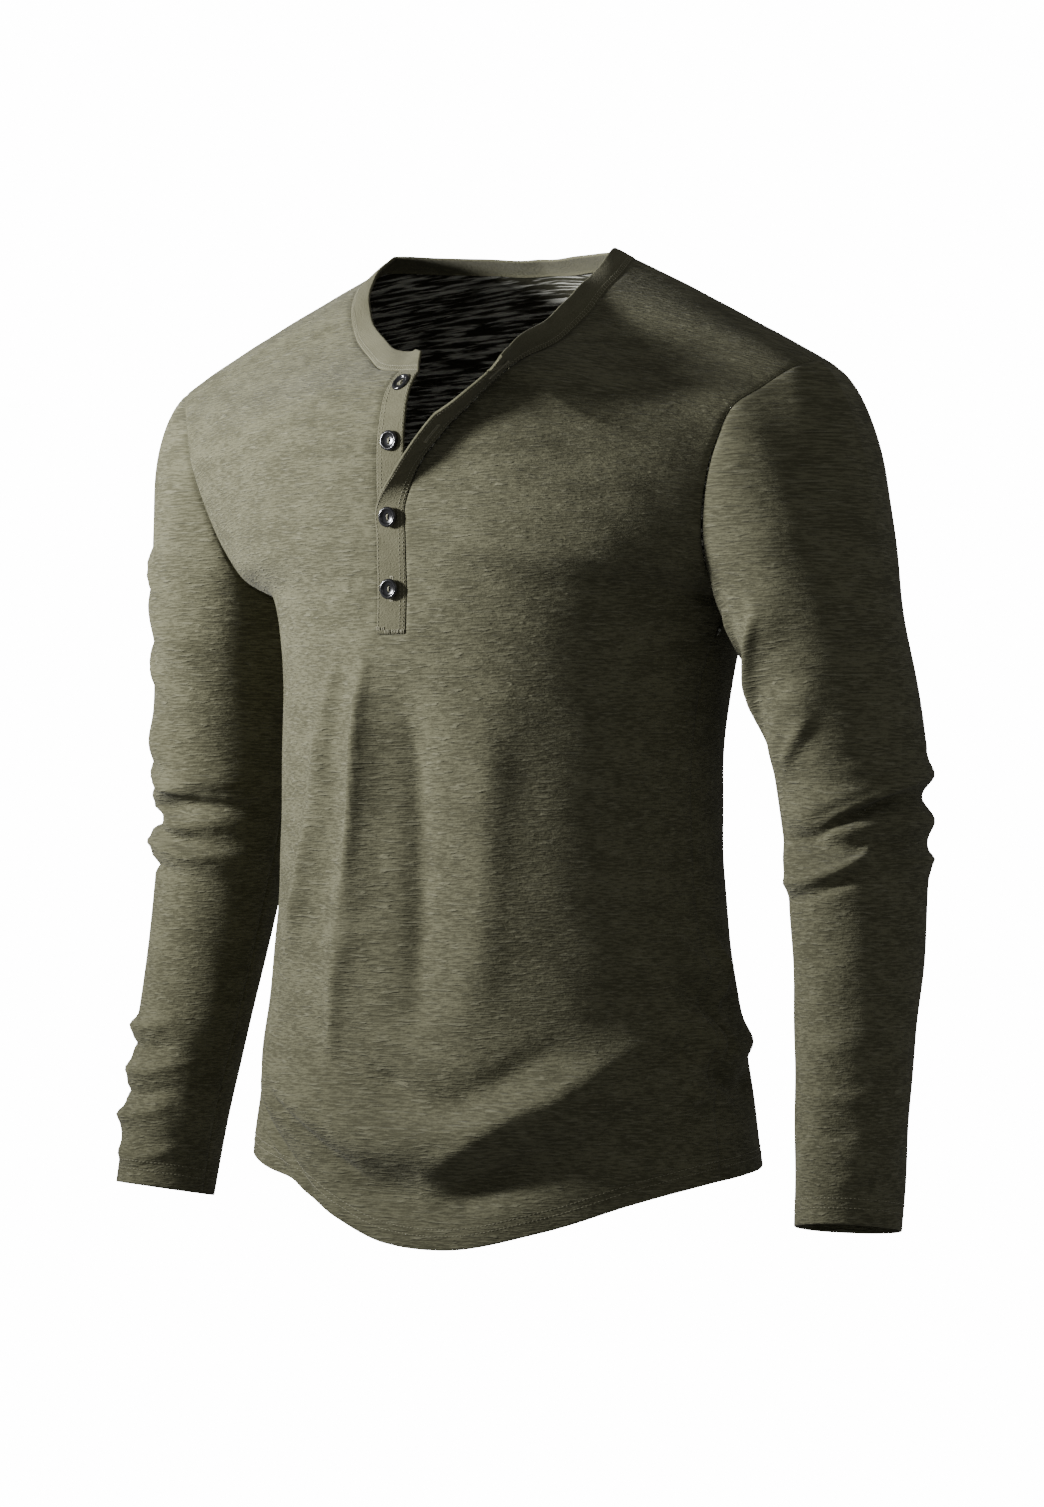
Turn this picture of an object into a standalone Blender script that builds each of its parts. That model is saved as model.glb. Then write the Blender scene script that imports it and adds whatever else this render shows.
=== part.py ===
"""A men's henley in slub jersey, filled out as if worn, with nothing inside it.

Every piece that is cut and sewn is a wall of cloth of its own: front, back, two sleeves, neckband and
the two plackets of the front opening. Four buttons lie on the plackets. Metres, +Z up. The front
faces -Y, and the wearer's left side is at +X. The origin lies between the two sides of the neck.
"""

import math

import bpy
import numpy as np
from mathutils import Vector

# Cloth, seams and trims
JERSEY_WALL = 0.0015
HEM_WALL = 0.0024
BAND_WALL = 0.0020
SEAM_GAP = 0.0003
NECKBAND_WIDTH = 0.018
NECK_HOLE = (0.0, -0.02, 0.10)
BAND_FRONT_RISE = 0.8
BAND_SLOPE = 30
BAND_TAB_LEAN = (-0.15, 0.30, 0.94)
PLACKET_WIDTH = 0.023
PLACKET_BOTTOM = -0.272
CLOTH_ROUNDNESS = 0.92
QUARTER_GIRTH = 0.240

# Buttons
BUTTON_DIAMETER = 0.0142
BUTTON_THICKNESS = 0.0034
BUTTON_HOLE = 0.0018
BUTTON_HOLE_SPREAD = 0.0019
BUTTON_HEIGHTS = (-0.101, -0.140, -0.192, -0.241)
BUTTON_GAP = 0.00045
BUTTONS_ON_THE_STAND = 2

# How finely each wall is divided
HEM_SHARE = 0.055
LOWER_ROWS = 18
PLACKET_ROWS = 8
NECK_ROWS = 7
HALF_COLUMNS = 14
BACK_NECK_COLUMNS = 8
BACK_UPPER_ROWS = 10
STRIP_COLUMNS = 3
CAP_ROWS = 7

# Turn from the middle to the side seams, which lie a little to the front of the body's sides
FRONT_WRAP = 82.0
BACK_WRAP = 98.0
# The body below the arms. side is the side seam; front and back are the middles of the panels.
LOWER_COLUMNS = ("side_x", "side_y", "side_z", "front_y", "front_z", "back_y", "back_z")
LOWER_BODY = (
    (0.192, -0.014, -0.640, -0.139, -0.640, 0.130, -0.640),
    (0.185, -0.013, -0.575, -0.136, -0.585, 0.116, -0.580),
    (0.176, -0.012, -0.500, -0.131, -0.508, 0.100, -0.505),
    (0.168, -0.012, -0.420, -0.128, -0.426, 0.093, -0.423),
    (0.167, -0.009, -0.335, -0.130, -0.335, 0.102, -0.332),
    (0.172, 0.001, -0.285, -0.131, -0.276, 0.112, -0.276),
)
# The hem's own line round the body: quarter turns from the middle of the front, and height
HEM_LINE = (
    (-2.0, -0.640),
    (-1.4, -0.637),
    (-1.0, -0.635),
    (-0.66, -0.636),
    (-0.48, -0.642),
    (-0.30, -0.652),
    (-0.15, -0.670),
    (0.0, -0.686),
    (0.13, -0.689),
    (0.42, -0.675),
    (0.69, -0.656),
    (1.0, -0.643),
    (1.4, -0.637),
    (2.0, -0.640),
)
HEM_LINE_REACH = 0.45
# The body above the arms. edge is the armhole, from the armpit up to the shoulder tip. wrap is how far
# a row turns round the body, and drop how it falls away from the middle. The columns are edge_x,
# edge_y, edge_z, middle_y, middle_z, wrap and drop.
UPPER_FRONT = (
    (0.182, 0.010, -0.252, -0.1310, -0.240, 84, 2.0),
    (0.190, -0.012, -0.243, -0.1315, -0.226, 80, 2.0),
    (0.199, -0.042, -0.229, -0.1320, -0.210, 75, 1.9),
    (0.205, -0.058, -0.209, -0.1330, -0.175, 68, 1.8),
    (0.215, -0.069, -0.176, -0.1310, -0.130, 60, 1.7),
    (0.226, -0.072, -0.145, -0.1170, -0.098, 53, 1.6),
    (0.235, -0.065, -0.121, -0.0810, -0.074, 48, 1.6),
    (0.248, -0.050, -0.108, -0.0590, -0.048, 44, 1.5),
    (0.262, -0.032, -0.094, -0.0430, -0.020, 40, 1.4),
    (0.267, -0.010, -0.088, -0.0010, 0.036, 36, 0.95),
)
UPPER_BACK = (
    (0.182, 0.010, -0.252, 0.1200, -0.240, 96, 2.0),
    (0.198, 0.048, -0.238, 0.1220, -0.215, 84, 1.9),
    (0.212, 0.071, -0.212, 0.1240, -0.175, 70, 1.8),
    (0.224, 0.079, -0.184, 0.1240, -0.135, 60, 1.7),
    (0.236, 0.078, -0.155, 0.1190, -0.098, 53, 1.6),
    (0.246, 0.068, -0.131, 0.1050, -0.066, 48, 1.5),
    (0.256, 0.048, -0.110, 0.0750, -0.028, 43, 1.35),
    (0.265, 0.022, -0.094, 0.0490, -0.008, 39, 1.20),
    (0.267, -0.010, -0.088, -0.0010, 0.036, 36, 0.95),
)
# How far the back neckline lies below the shoulder line, from the wearer's right shoulder to the left
BACK_NECK_DROPS = (0.0, 0.020, 0.062, 0.104, 0.142, 0.108, 0.070, 0.037, 0.0)

# Neckline of the wearer's right, from the placket to the shoulder. Both tables' columns are x, z and lift.
RIGHT_NECKLINE = (
    (-0.0115, -0.0905, 0.0),
    (-0.034, -0.0875, 0.0),
    (-0.057, -0.0780, 0.0),
    (-0.088, -0.0585, 0.0),
    (-0.104, -0.0364, 0.0),
    (-0.111, -0.0236, 0.0),
    (-0.105, -0.0090, 0.0),
)
# The wearer's left front falls open, and its edge stands off the chest by lift.
LEFT_NECKLINE = (
    (0.0958, -0.1103, 0.026),
    (0.1065, -0.0954, 0.019),
    (0.1125, -0.0691, 0.012),
    (0.1176, -0.0408, 0.005),
    (0.1165, -0.0232, 0.001),
    (0.1120, -0.0119, 0.0),
)
# The way up the neckband over its last columns, where it falls open with the left front: x, y and z
BAND_FLAP_TURN = (
    (-0.70, -0.35, 0.62),
    (-0.42, -0.52, 0.74),
    (-0.22, -0.58, 0.78),
    (0.10, -0.50, 0.86),
    (0.44, -0.36, 0.81),
    (0.58, -0.25, 0.78),
    (0.68, -0.12, 0.72),
    (0.75, -0.01, 0.65),
)
# The plackets at each of their rows. seam is where the buttonhole side is sewn to the left front, edge
# is its free edge, and stand_edge is the free edge of the button stand.
PLACKET_COLUMNS = (
    *("stand_z", "seam_x", "seam_z", "seam_lift", "edge_x", "edge_z", "edge_lift"),
    *("stand_edge_x", "stand_edge_z", "stand_edge_lift"),
)
PLACKETS = (
    (-0.272, 0.0115, -0.272, 0.0000, -0.0115, -0.272, 0.0018, 0.0112, -0.272, -0.0018),
    (-0.250, 0.0115, -0.250, 0.0000, -0.0115, -0.250, 0.0018, 0.0112, -0.250, -0.0018),
    (-0.228, 0.0115, -0.228, 0.0000, -0.0115, -0.228, 0.0018, 0.0112, -0.228, -0.0018),
    (-0.206, 0.0115, -0.206, 0.0000, -0.0115, -0.206, 0.0018, 0.0112, -0.206, -0.0018),
    (-0.184, 0.0118, -0.184, 0.0000, -0.0110, -0.184, 0.0020, 0.0112, -0.184, -0.0018),
    (-0.160, 0.0271, -0.1582, 0.0040, 0.0159, -0.1610, 0.0160, 0.0112, -0.160, -0.0014),
    (-0.135, 0.0506, -0.1377, 0.0110, 0.0466, -0.1382, 0.0300, 0.0111, -0.1353, -0.0004),
    (-0.112, 0.0754, -0.1200, 0.0180, 0.0737, -0.1251, 0.0400, 0.0106, -0.1132, 0.0012),
    (-0.0905, 0.0958, -0.1103, 0.0260, 0.0940, -0.1169, 0.0440, 0.0098, -0.0938, 0.0028),
)
FLAP_REACH = 0.055

# The sleeve below the armhole, from the upper arm to the cuff: the middle's x, y and z, half the width
# and half the depth
SLEEVE = (
    (0.2600, 0.016, -0.290, 0.0535, 0.058),
    (0.2680, 0.023, -0.340, 0.0530, 0.055),
    (0.2710, 0.029, -0.390, 0.0490, 0.052),
    (0.2790, 0.022, -0.460, 0.0455, 0.047),
    (0.2855, 0.008, -0.540, 0.0405, 0.042),
    (0.2920, -0.008, -0.620, 0.0370, 0.039),
    (0.2950, -0.016, -0.670, 0.0355, 0.0375),
)
SLEEVE_ROW_HEIGHTS = (
    -0.312, -0.334, -0.352, -0.366, -0.379, -0.391, -0.403, -0.415, -0.428, -0.442,
    -0.460, -0.485, -0.515, -0.545, -0.575, -0.602, -0.626, -0.650, -0.670,
)
CAP_FULLNESS = 0.80

# Folds of the body. turn counts quarters of the girth from the middle of the front towards the
# wearer's left. Each fold runs through its points and dies away at both ends. The columns are half the
# width, the height and the points.
BODY_FOLDS = (
    (0.014, 0.0075, ((-0.07, -0.250), (-0.12, -0.390), (-0.17, -0.505), (-0.20, -0.580))),
    (0.015, 0.0065, ((-0.22, -0.280), (-0.30, -0.390), (-0.41, -0.467), (-0.56, -0.515))),
    (0.022, -0.0060, ((0.05, -0.270), (0.06, -0.430), (0.06, -0.600))),
    (0.018, 0.0045, ((0.30, -0.300), (0.27, -0.450), (0.22, -0.560))),
    (0.018, 0.0130, ((-0.72, -0.535), (-0.30, -0.592), (0.10, -0.622), (0.45, -0.592), (0.90, -0.520))),
    (0.015, -0.0090, ((-0.60, -0.580), (0.05, -0.652), (0.45, -0.628), (0.95, -0.555))),
    (0.014, 0.0080, ((1.02, -0.572), (0.70, -0.585), (0.42, -0.632))),
    (0.012, 0.0070, ((-0.62, -0.565), (-0.30, -0.620), (0.02, -0.668))),
    (0.012, -0.0060, ((-0.80, -0.580), (-0.40, -0.640), (-0.22, -0.668))),
    (0.010, 0.0070, ((0.80, -0.470), (1.02, -0.500), (1.20, -0.490))),
    (0.009, -0.0060, ((0.85, -0.500), (1.05, -0.525), (1.25, -0.520))),
    (0.010, 0.0080, ((0.90, -0.530), (1.08, -0.553), (1.35, -0.540))),
    (0.009, -0.0070, ((0.95, -0.560), (1.10, -0.582), (1.30, -0.575))),
    (0.014, 0.0060, ((-1.35, -0.530), (-1.05, -0.548), (-0.80, -0.540))),
    (0.012, -0.0050, ((-1.40, -0.565), (-1.05, -0.580), (-0.85, -0.572))),
    (0.018, 0.0070, ((1.35, -0.520), (1.70, -0.585), (2.05, -0.612), (2.45, -0.575), (2.80, -0.520))),
    (0.014, -0.0050, ((1.40, -0.560), (2.00, -0.645), (2.60, -0.570))),
    (0.016, 0.0045, ((1.80, -0.250), (1.84, -0.370), (1.75, -0.500))),
    (0.016, 0.0040, ((2.25, -0.260), (2.20, -0.380), (2.32, -0.500))),
    (0.020, -0.0040, ((2.02, -0.230), (2.02, -0.360), (2.05, -0.500))),
)
# Folds of the sleeves. turn counts quarters round the arm from its outer side over the front.
LEFT_SLEEVE_FOLDS = (
    (0.009, 0.0060, ((-0.90, -0.372), (-0.20, -0.368), (0.60, -0.382), (1.30, -0.402))),
    (0.008, -0.0055, ((-0.90, -0.384), (0.00, -0.381), (0.70, -0.394), (1.50, -0.413))),
    (0.009, 0.0060, ((-1.00, -0.402), (0.00, -0.398), (0.80, -0.404), (1.60, -0.392))),
    (0.008, -0.0050, ((-0.60, -0.413), (0.60, -0.416), (1.60, -0.404))),
    (0.009, 0.0055, ((-0.80, -0.428), (0.20, -0.424), (1.00, -0.430), (1.90, -0.418))),
    (0.009, 0.0045, ((0.20, -0.452), (1.00, -0.444), (1.80, -0.436))),
    (0.012, 0.0045, ((1.70, -0.330), (1.30, -0.290), (0.80, -0.240))),
    (0.012, 0.0035, ((1.60, -0.370), (1.10, -0.330), (0.60, -0.300))),
    (0.010, 0.0030, ((-0.30, -0.560), (0.60, -0.545), (1.40, -0.560))),
    (0.010, 0.0030, ((-0.20, -0.610), (0.60, -0.622), (1.50, -0.612))),
    (0.010, 0.0035, ((2.20, -0.390), (2.70, -0.400), (3.10, -0.388))),
    (0.010, -0.0035, ((2.10, -0.408), (2.60, -0.418), (3.00, -0.408))),
)
RIGHT_SLEEVE_FOLDS = (
    (0.014, 0.0050, ((0.10, -0.330), (0.70, -0.350), (1.30, -0.375), (1.90, -0.378))),
    (0.009, 0.0060, ((-0.30, -0.380), (0.50, -0.384), (1.20, -0.372), (1.90, -0.386))),
    (0.008, -0.0055, ((-0.30, -0.392), (0.60, -0.396), (1.30, -0.388), (1.90, -0.398))),
    (0.009, 0.0060, ((-0.40, -0.398), (0.60, -0.410), (1.40, -0.402), (2.00, -0.412))),
    (0.009, 0.0050, ((0.00, -0.428), (0.70, -0.425), (1.50, -0.432), (2.10, -0.420))),
    (0.012, 0.0040, ((0.20, -0.225), (0.70, -0.262), (1.25, -0.295))),
    (0.008, 0.0030, ((0.20, -0.560), (0.90, -0.552), (1.70, -0.566))),
    (0.008, 0.0032, ((0.30, -0.592), (1.00, -0.585), (1.70, -0.598))),
    (0.008, 0.0030, ((0.20, -0.622), (1.00, -0.618), (1.60, -0.628))),
    (0.010, 0.0035, ((2.30, -0.392), (2.80, -0.402), (3.30, -0.390))),
    (0.010, -0.0035, ((2.20, -0.410), (2.70, -0.420), (3.20, -0.410))),
)

OLIVE = (0.115, 0.112, 0.070)
OLIVE_TRIM = (0.135, 0.130, 0.085)
BUTTON_BLACK = (0.012, 0.012, 0.013)


def unit(vectors):
    return vectors / np.maximum(np.linalg.norm(vectors, axis=-1, keepdims=True), 1e-12)


def smooth_curve(knots, values, at):
    """A smooth curve through table values at uneven knots, read at one place or many."""
    knots = np.asarray(knots, float)
    values = np.asarray(values, float)
    at = np.asarray(at, float)
    slopes = np.gradient(values, knots, axis=0)
    start = np.clip(np.searchsorted(knots, at, side="right") - 1, 0, len(knots) - 2)
    span = knots[start + 1] - knots[start]
    t = ((at - knots[start]) / span)[..., None]
    span = span[..., None]
    from_start = values[start] * (2 * t**3 - 3 * t**2 + 1) + slopes[start] * span * (t**3 - 2 * t**2 + t)
    to_end = values[start + 1] * (3 * t**2 - 2 * t**3) + slopes[start + 1] * span * (t**3 - t**2)
    return from_start + to_end


def shares_along(points):
    """How far along a line of points each of them lies, from 0 to 1."""
    steps = np.linalg.norm(np.diff(np.asarray(points, float), axis=0), axis=1)
    along = np.concatenate([[0.0], np.cumsum(steps)])
    return along / along[-1]


def panel_rows(upper, lower_middle, wrap):
    """Knots and rows of one body panel: 0 is the hem, 1 the armpit and 2 the shoulder."""
    lower = []
    for row in LOWER_BODY:
        named = dict(zip(LOWER_COLUMNS, row))
        middle = [named[lower_middle + "_y"], named[lower_middle + "_z"]]
        lower.append([named["side_x"], named["side_y"], named["side_z"], *middle, wrap, 2.0])
    rows = np.array(lower + [list(row) for row in upper])
    below = shares_along(rows[: len(lower) + 1, :3])
    above = shares_along(rows[len(lower) :, :3])
    return np.concatenate([below, 1 + above[1:]]), rows


FRONT = panel_rows(UPPER_FRONT, "front", FRONT_WRAP)
BACK = panel_rows(UPPER_BACK, "back", BACK_WRAP)


def smooth_panel(panel, across, up):
    """The panel without its folds. across is -1 at the wearer's right edge and 1 at the left one."""
    across, up = np.broadcast_arrays(np.asarray(across, float), np.asarray(up, float))
    row = smooth_curve(panel[0], panel[1], up)
    edge_x, edge_y, edge_z, middle_y, middle_z, wrap, drop = np.moveaxis(row, -1, 0)
    wrap = np.radians(wrap)
    share = np.minimum(np.abs(across), 1.0)
    side = (np.sin(share * wrap) / np.sin(wrap)) ** CLOTH_ROUNDNESS
    depth = np.clip((np.cos(share * wrap) - np.cos(wrap)) / (1 - np.cos(wrap)), 0, 1) ** CLOTH_ROUNDNESS
    x = np.sign(across) * edge_x * side
    y = edge_y + (middle_y - edge_y) * depth
    z = edge_z + (middle_z - edge_z) * (1 - share**drop)
    return np.stack([x, y, z], axis=-1)


def fold_height(turn, height, folds, quarter, turns=4.0):
    """How far the folds move the cloth out at a place, given in quarter turns and metres of height."""
    total = np.zeros(np.broadcast(turn, height).shape)
    for half_width, size, points in folds:
        knots = shares_along([(t * quarter, z) for t, z in points])
        path = smooth_curve(knots, points, np.linspace(0, 1, 13))
        centre = path[:, 0].mean()
        near = centre + (turn - centre + turns / 2) % turns - turns / 2
        best = np.full(total.shape, 9.0)
        share = np.zeros(total.shape)
        for k in range(len(path) - 1):
            step_x = (path[k + 1, 0] - path[k, 0]) * quarter
            step_z = path[k + 1, 1] - path[k, 1]
            off_x = (near - path[k, 0]) * quarter
            off_z = height - path[k, 1]
            s = np.clip((off_x * step_x + off_z * step_z) / (step_x**2 + step_z**2), 0, 1)
            distance = np.hypot(off_x - s * step_x, off_z - s * step_z)
            share = np.where(distance < best, (k + s) / (len(path) - 1), share)
            best = np.minimum(distance, best)
        fade = np.clip(np.minimum(share, 1 - share) / 0.3, 0, 1)
        total += size * np.exp(-((best / half_width) ** 2)) * fade**2 * (3 - 2 * fade)
    return total


def folded_panel(panel, across, up):
    """The panel with its folds, moved out from the body's upright axis."""
    points = smooth_panel(panel, across, up)
    across = np.broadcast_to(across, points.shape[:-1])
    turn = across if panel is FRONT else 2 - across
    hem = np.array(HEM_LINE)
    hem_height = smooth_curve(hem[:, 0], hem[:, 1:], (turn + 2) % 4 - 2)[..., 0]
    near_hem = np.clip(1 - np.broadcast_to(up, turn.shape) / HEM_LINE_REACH, 0, 1) ** 2
    points[..., 2] += (hem_height - LOWER_BODY[0][2]) * near_hem
    angle = np.radians(90 * turn)
    outward = np.stack([np.sin(angle), -np.cos(angle), np.zeros(angle.shape)], axis=-1)
    return points + outward * fold_height(turn, points[..., 2], BODY_FOLDS, QUARTER_GIRTH)[..., None]


def find_on_front(x, z):
    """across and up of the place on the front that has this x and z."""
    x, z = np.broadcast_arrays(np.asarray(x, float), np.asarray(z, float))
    across = x / 0.2
    up = np.full(x.shape, 1.3)
    step = 1e-4
    for _ in range(40):
        here = smooth_panel(FRONT, across, up)
        by_across = (smooth_panel(FRONT, across + step, up) - here) / step
        by_up = (smooth_panel(FRONT, across, up + step) - here) / step
        miss_x = x - here[..., 0]
        miss_z = z - here[..., 2]
        det = by_across[..., 0] * by_up[..., 2] - by_across[..., 2] * by_up[..., 0]
        across = across + np.clip((miss_x * by_up[..., 2] - miss_z * by_up[..., 0]) / det, -0.2, 0.2)
        up = up + np.clip((miss_z * by_across[..., 0] - miss_x * by_across[..., 2]) / det, -0.2, 0.2)
        across = np.clip(across, -0.98, 0.98)
        up = np.clip(up, 0.5, 2.0)
    return across, up


def front_place(x, z, lift):
    """A point that stands off the front by lift, and the outward direction there."""
    across, up = find_on_front(x, z)
    step = 1e-3
    sideways = smooth_panel(FRONT, across + step, up) - smooth_panel(FRONT, across - step, up)
    upward = smooth_panel(FRONT, across, up + step) - smooth_panel(FRONT, across, up - step)
    outward = unit(np.cross(sideways, upward))
    return folded_panel(FRONT, across, up) + outward * np.asarray(lift)[..., None], outward


def grid_normals(points, closed=False):
    """Directions across a grid whose rows run up and whose columns run to the right."""
    if closed:
        wrapped = np.concatenate([points[:, -1:], points, points[:, :1]], axis=1)
        sideways = (wrapped[:, 2:] - wrapped[:, :-2]) / 2
    else:
        sideways = np.gradient(points, axis=1)
    return unit(np.cross(sideways, np.gradient(points, axis=0)))


def turn_about(directions, vector, like):
    """vector made square to each direction, and pointing the same way as like."""
    square = vector - directions * np.sum(vector * directions, axis=-1, keepdims=True)
    square = unit(square)
    return square * np.sign(np.sum(square * like, axis=-1, keepdims=True))


class Wall:
    """One piece of cloth: a grid of outer points, the way in from each, and how far each is moved."""

    def __init__(self, points, inward):
        self.points = points
        self.inward = inward
        self.shift = np.zeros(points.shape)
        self.thickness = np.full(points.shape[:2], JERSEY_WALL)
        self.present = np.ones((points.shape[0] - 1, points.shape[1] - 1), bool)
        self.closed = False

    def build(self, name, colour, roughness=0.9):
        rows, columns = self.points.shape[:2]
        outer = self.points + self.shift
        inner = outer + self.inward * self.thickness[..., None]
        vertices = np.concatenate([outer.reshape(-1, 3), inner.reshape(-1, 3)])
        inside = rows * columns
        corners = []
        for i, j in np.argwhere(self.present):
            right = (j + 1) % columns
            low = i * columns
            high = low + columns
            corners.append((low + j, low + right, high + right, high + j))
        faces = []
        edges = set()
        for a, b, c, d in corners:
            faces += [(a, b, c), (a, c, d)]
            faces += [(c + inside, b + inside, a + inside), (d + inside, c + inside, a + inside)]
            edges |= {(a, b), (b, c), (c, d), (d, a)}
        for a, b in sorted(edges):
            if (b, a) in edges:
                continue
            if vertices[a][2] < vertices[b][2]:
                faces += [(b, a, b + inside), (a, a + inside, b + inside)]
            else:
                faces += [(b, a, a + inside), (b, a + inside, b + inside)]
        used = sorted({index for face in faces for index in face})
        place = {index: k for k, index in enumerate(used)}
        faces = [tuple(place[index] for index in face) for face in faces]
        return add_object(name, vertices[used], faces, colour, roughness)


def add_object(name, vertices, faces, colour, roughness):
    mesh = bpy.data.meshes.new(name)
    mesh.from_pydata([tuple(map(float, v)) for v in vertices], [], faces)
    mesh.validate()
    mesh.shade_smooth()
    mesh.set_sharp_from_angle(angle=math.radians(50))
    obj = bpy.data.objects.new(name, mesh)
    bpy.context.scene.collection.objects.link(obj)
    mesh.materials.append(new_material(name, colour, roughness))
    return obj


def new_material(name, colour, roughness):
    material = bpy.data.materials.new(name)
    material.use_nodes = True
    shader = material.node_tree.nodes["Principled BSDF"]
    shader.inputs["Base Color"].default_value = (*colour, 1.0)
    shader.inputs["Roughness"].default_value = roughness
    shader.inputs["Metallic"].default_value = 0.0
    return material


# Heights shared by every piece along the side seams and armholes
SLOT_SHARE = float(find_on_front(PLACKET_WIDTH / 2, PLACKET_BOTTOM)[1])
SIDE_UPS = np.concatenate(
    [
        [0.0],
        np.linspace(HEM_SHARE, SLOT_SHARE, LOWER_ROWS),
        1 + np.linspace(0, 1, PLACKET_ROWS + NECK_ROWS),
    ]
)
SLOT_ROW = LOWER_ROWS
ARMPIT_ROW = LOWER_ROWS + 1
CORNER_ROW = SLOT_ROW + PLACKET_ROWS
TOP_ROW = CORNER_ROW + NECK_ROWS
RIGHT_COLUMN = HALF_COLUMNS
LEFT_COLUMN = HALF_COLUMNS + 2


def neckline_places(table):
    """The neckline's rows, evenly spaced along it: x, z and lift."""
    table = np.array(table)
    return smooth_curve(shares_along(table[:, :2]), table, np.linspace(0, 1, NECK_ROWS + 1))


def front_edges():
    """x, z and lift of the front's two inner edges, from the bottom of the slot to the shoulder."""
    half = PLACKET_WIDTH / 2
    plackets = [dict(zip(PLACKET_COLUMNS, row)) for row in PLACKETS]
    right = [(-half, row["stand_z"], 0.0) for row in plackets]
    left = [(row["seam_x"], row["seam_z"], row["seam_lift"]) for row in plackets]
    right += list(neckline_places(RIGHT_NECKLINE)[1:])
    left += list(neckline_places(LEFT_NECKLINE)[1:])
    return np.array(right), np.array(left)


def upper_front_half(edge, sign, shares):
    """Grid of one side of the front above the slot, from the armhole at 0 to the inner edge."""
    across_edge, up_edge = find_on_front(edge[:, 0], edge[:, 1])
    up_edge[-1] = 2.0
    across = sign + (across_edge[:, None] - sign) * shares
    sides = SIDE_UPS[SLOT_ROW:][:, None]
    up = sides + (up_edge[:, None] - sides) * shares
    points = folded_panel(FRONT, across, up)
    outward = grid_normals(points) * -sign
    away = np.linalg.norm(points - points[:, -1:], axis=-1)
    lift = edge[:, 2][:, None] * np.exp(-((away / FLAP_REACH) ** 2))
    return points + outward * lift[..., None], across[-1]


def build_front_grid():
    """The front's wall, and the shares of the shoulder where its columns end."""
    right_edge, left_edge = front_edges()
    across_slot = abs(find_on_front(-PLACKET_WIDTH / 2, PLACKET_BOTTOM)[0])
    half = np.linspace(-1, -across_slot, HALF_COLUMNS + 1)
    columns = np.concatenate([half, [0.0], -half[::-1]])
    shares = (half + 1) / (1 - across_slot)
    points = np.zeros((TOP_ROW + 1, len(columns), 3))
    points[: SLOT_ROW + 1] = folded_panel(FRONT, columns[None, :], SIDE_UPS[: SLOT_ROW + 1][:, None])
    right, shoulder = upper_front_half(right_edge, -1.0, shares)
    left, _ = upper_front_half(left_edge, 1.0, shares)
    left = left[:, ::-1]
    points[SLOT_ROW + 1 :, : RIGHT_COLUMN + 1] = right[1:]
    points[SLOT_ROW + 1 :, LEFT_COLUMN:] = left[1:]
    outward = np.zeros(points.shape)
    outward[: SLOT_ROW + 1] = grid_normals(points[: SLOT_ROW + 1])
    outward[SLOT_ROW + 1 :, : RIGHT_COLUMN + 1] = grid_normals(points[SLOT_ROW:, : RIGHT_COLUMN + 1])[1:]
    outward[SLOT_ROW + 1 :, LEFT_COLUMN:] = grid_normals(points[SLOT_ROW:, LEFT_COLUMN:])[1:]
    wall = Wall(points, -outward)
    wall.present[SLOT_ROW:, RIGHT_COLUMN:LEFT_COLUMN] = False
    wall.thickness[:2] = HEM_WALL
    return wall, shoulder


def build_back_grid(front, shoulder):
    """The back's wall. Its columns meet the front's along the shoulders."""
    neck = abs(shoulder[-1])
    swing = np.radians(np.linspace(-90, 90, BACK_NECK_COLUMNS + 1))
    columns = np.concatenate([shoulder[:-1], neck * np.sin(swing), -shoulder[:-1][::-1]])
    tops = np.full(len(columns), 2.0)
    tops[HALF_COLUMNS : HALF_COLUMNS + BACK_NECK_COLUMNS + 1] -= BACK_NECK_DROPS
    lower = np.repeat(SIDE_UPS[: ARMPIT_ROW + 1][:, None], len(columns), axis=1)
    rise = np.linspace(0, 1, BACK_UPPER_ROWS + 1)[1:, None]
    ups = np.concatenate([lower, 1 + (tops[None, :] - 1) * rise])
    points = folded_panel(BACK, columns[None, :], ups)
    points[: ARMPIT_ROW + 1, 0] = front.points[: ARMPIT_ROW + 1, 0]
    points[: ARMPIT_ROW + 1, -1] = front.points[: ARMPIT_ROW + 1, -1]
    points[-1, : HALF_COLUMNS + 1] = front.points[-1, : RIGHT_COLUMN + 1]
    points[-1, -HALF_COLUMNS - 1 :] = front.points[-1, LEFT_COLUMN:]
    wall = Wall(points, grid_normals(points))
    wall.thickness[:2] = HEM_WALL
    return wall


def armhole(front, back, side):
    """One armhole: its points from the shoulder over the front, the way in and the way out of it."""
    column = 0 if side < 0 else -1
    ring = np.concatenate([front.points[ARMPIT_ROW:, column][::-1], back.points[ARMPIT_ROW + 1 : -1, column]])
    tangents = unit(np.roll(ring, -1, axis=0) - np.roll(ring, 1, axis=0))
    inward = turn_about(tangents, ring.mean(axis=0) - ring, ring.mean(axis=0) - ring)
    outward = unit(np.cross(tangents, inward))
    outward *= np.sign(outward[:, :1]) * side
    return ring, inward, outward


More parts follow.
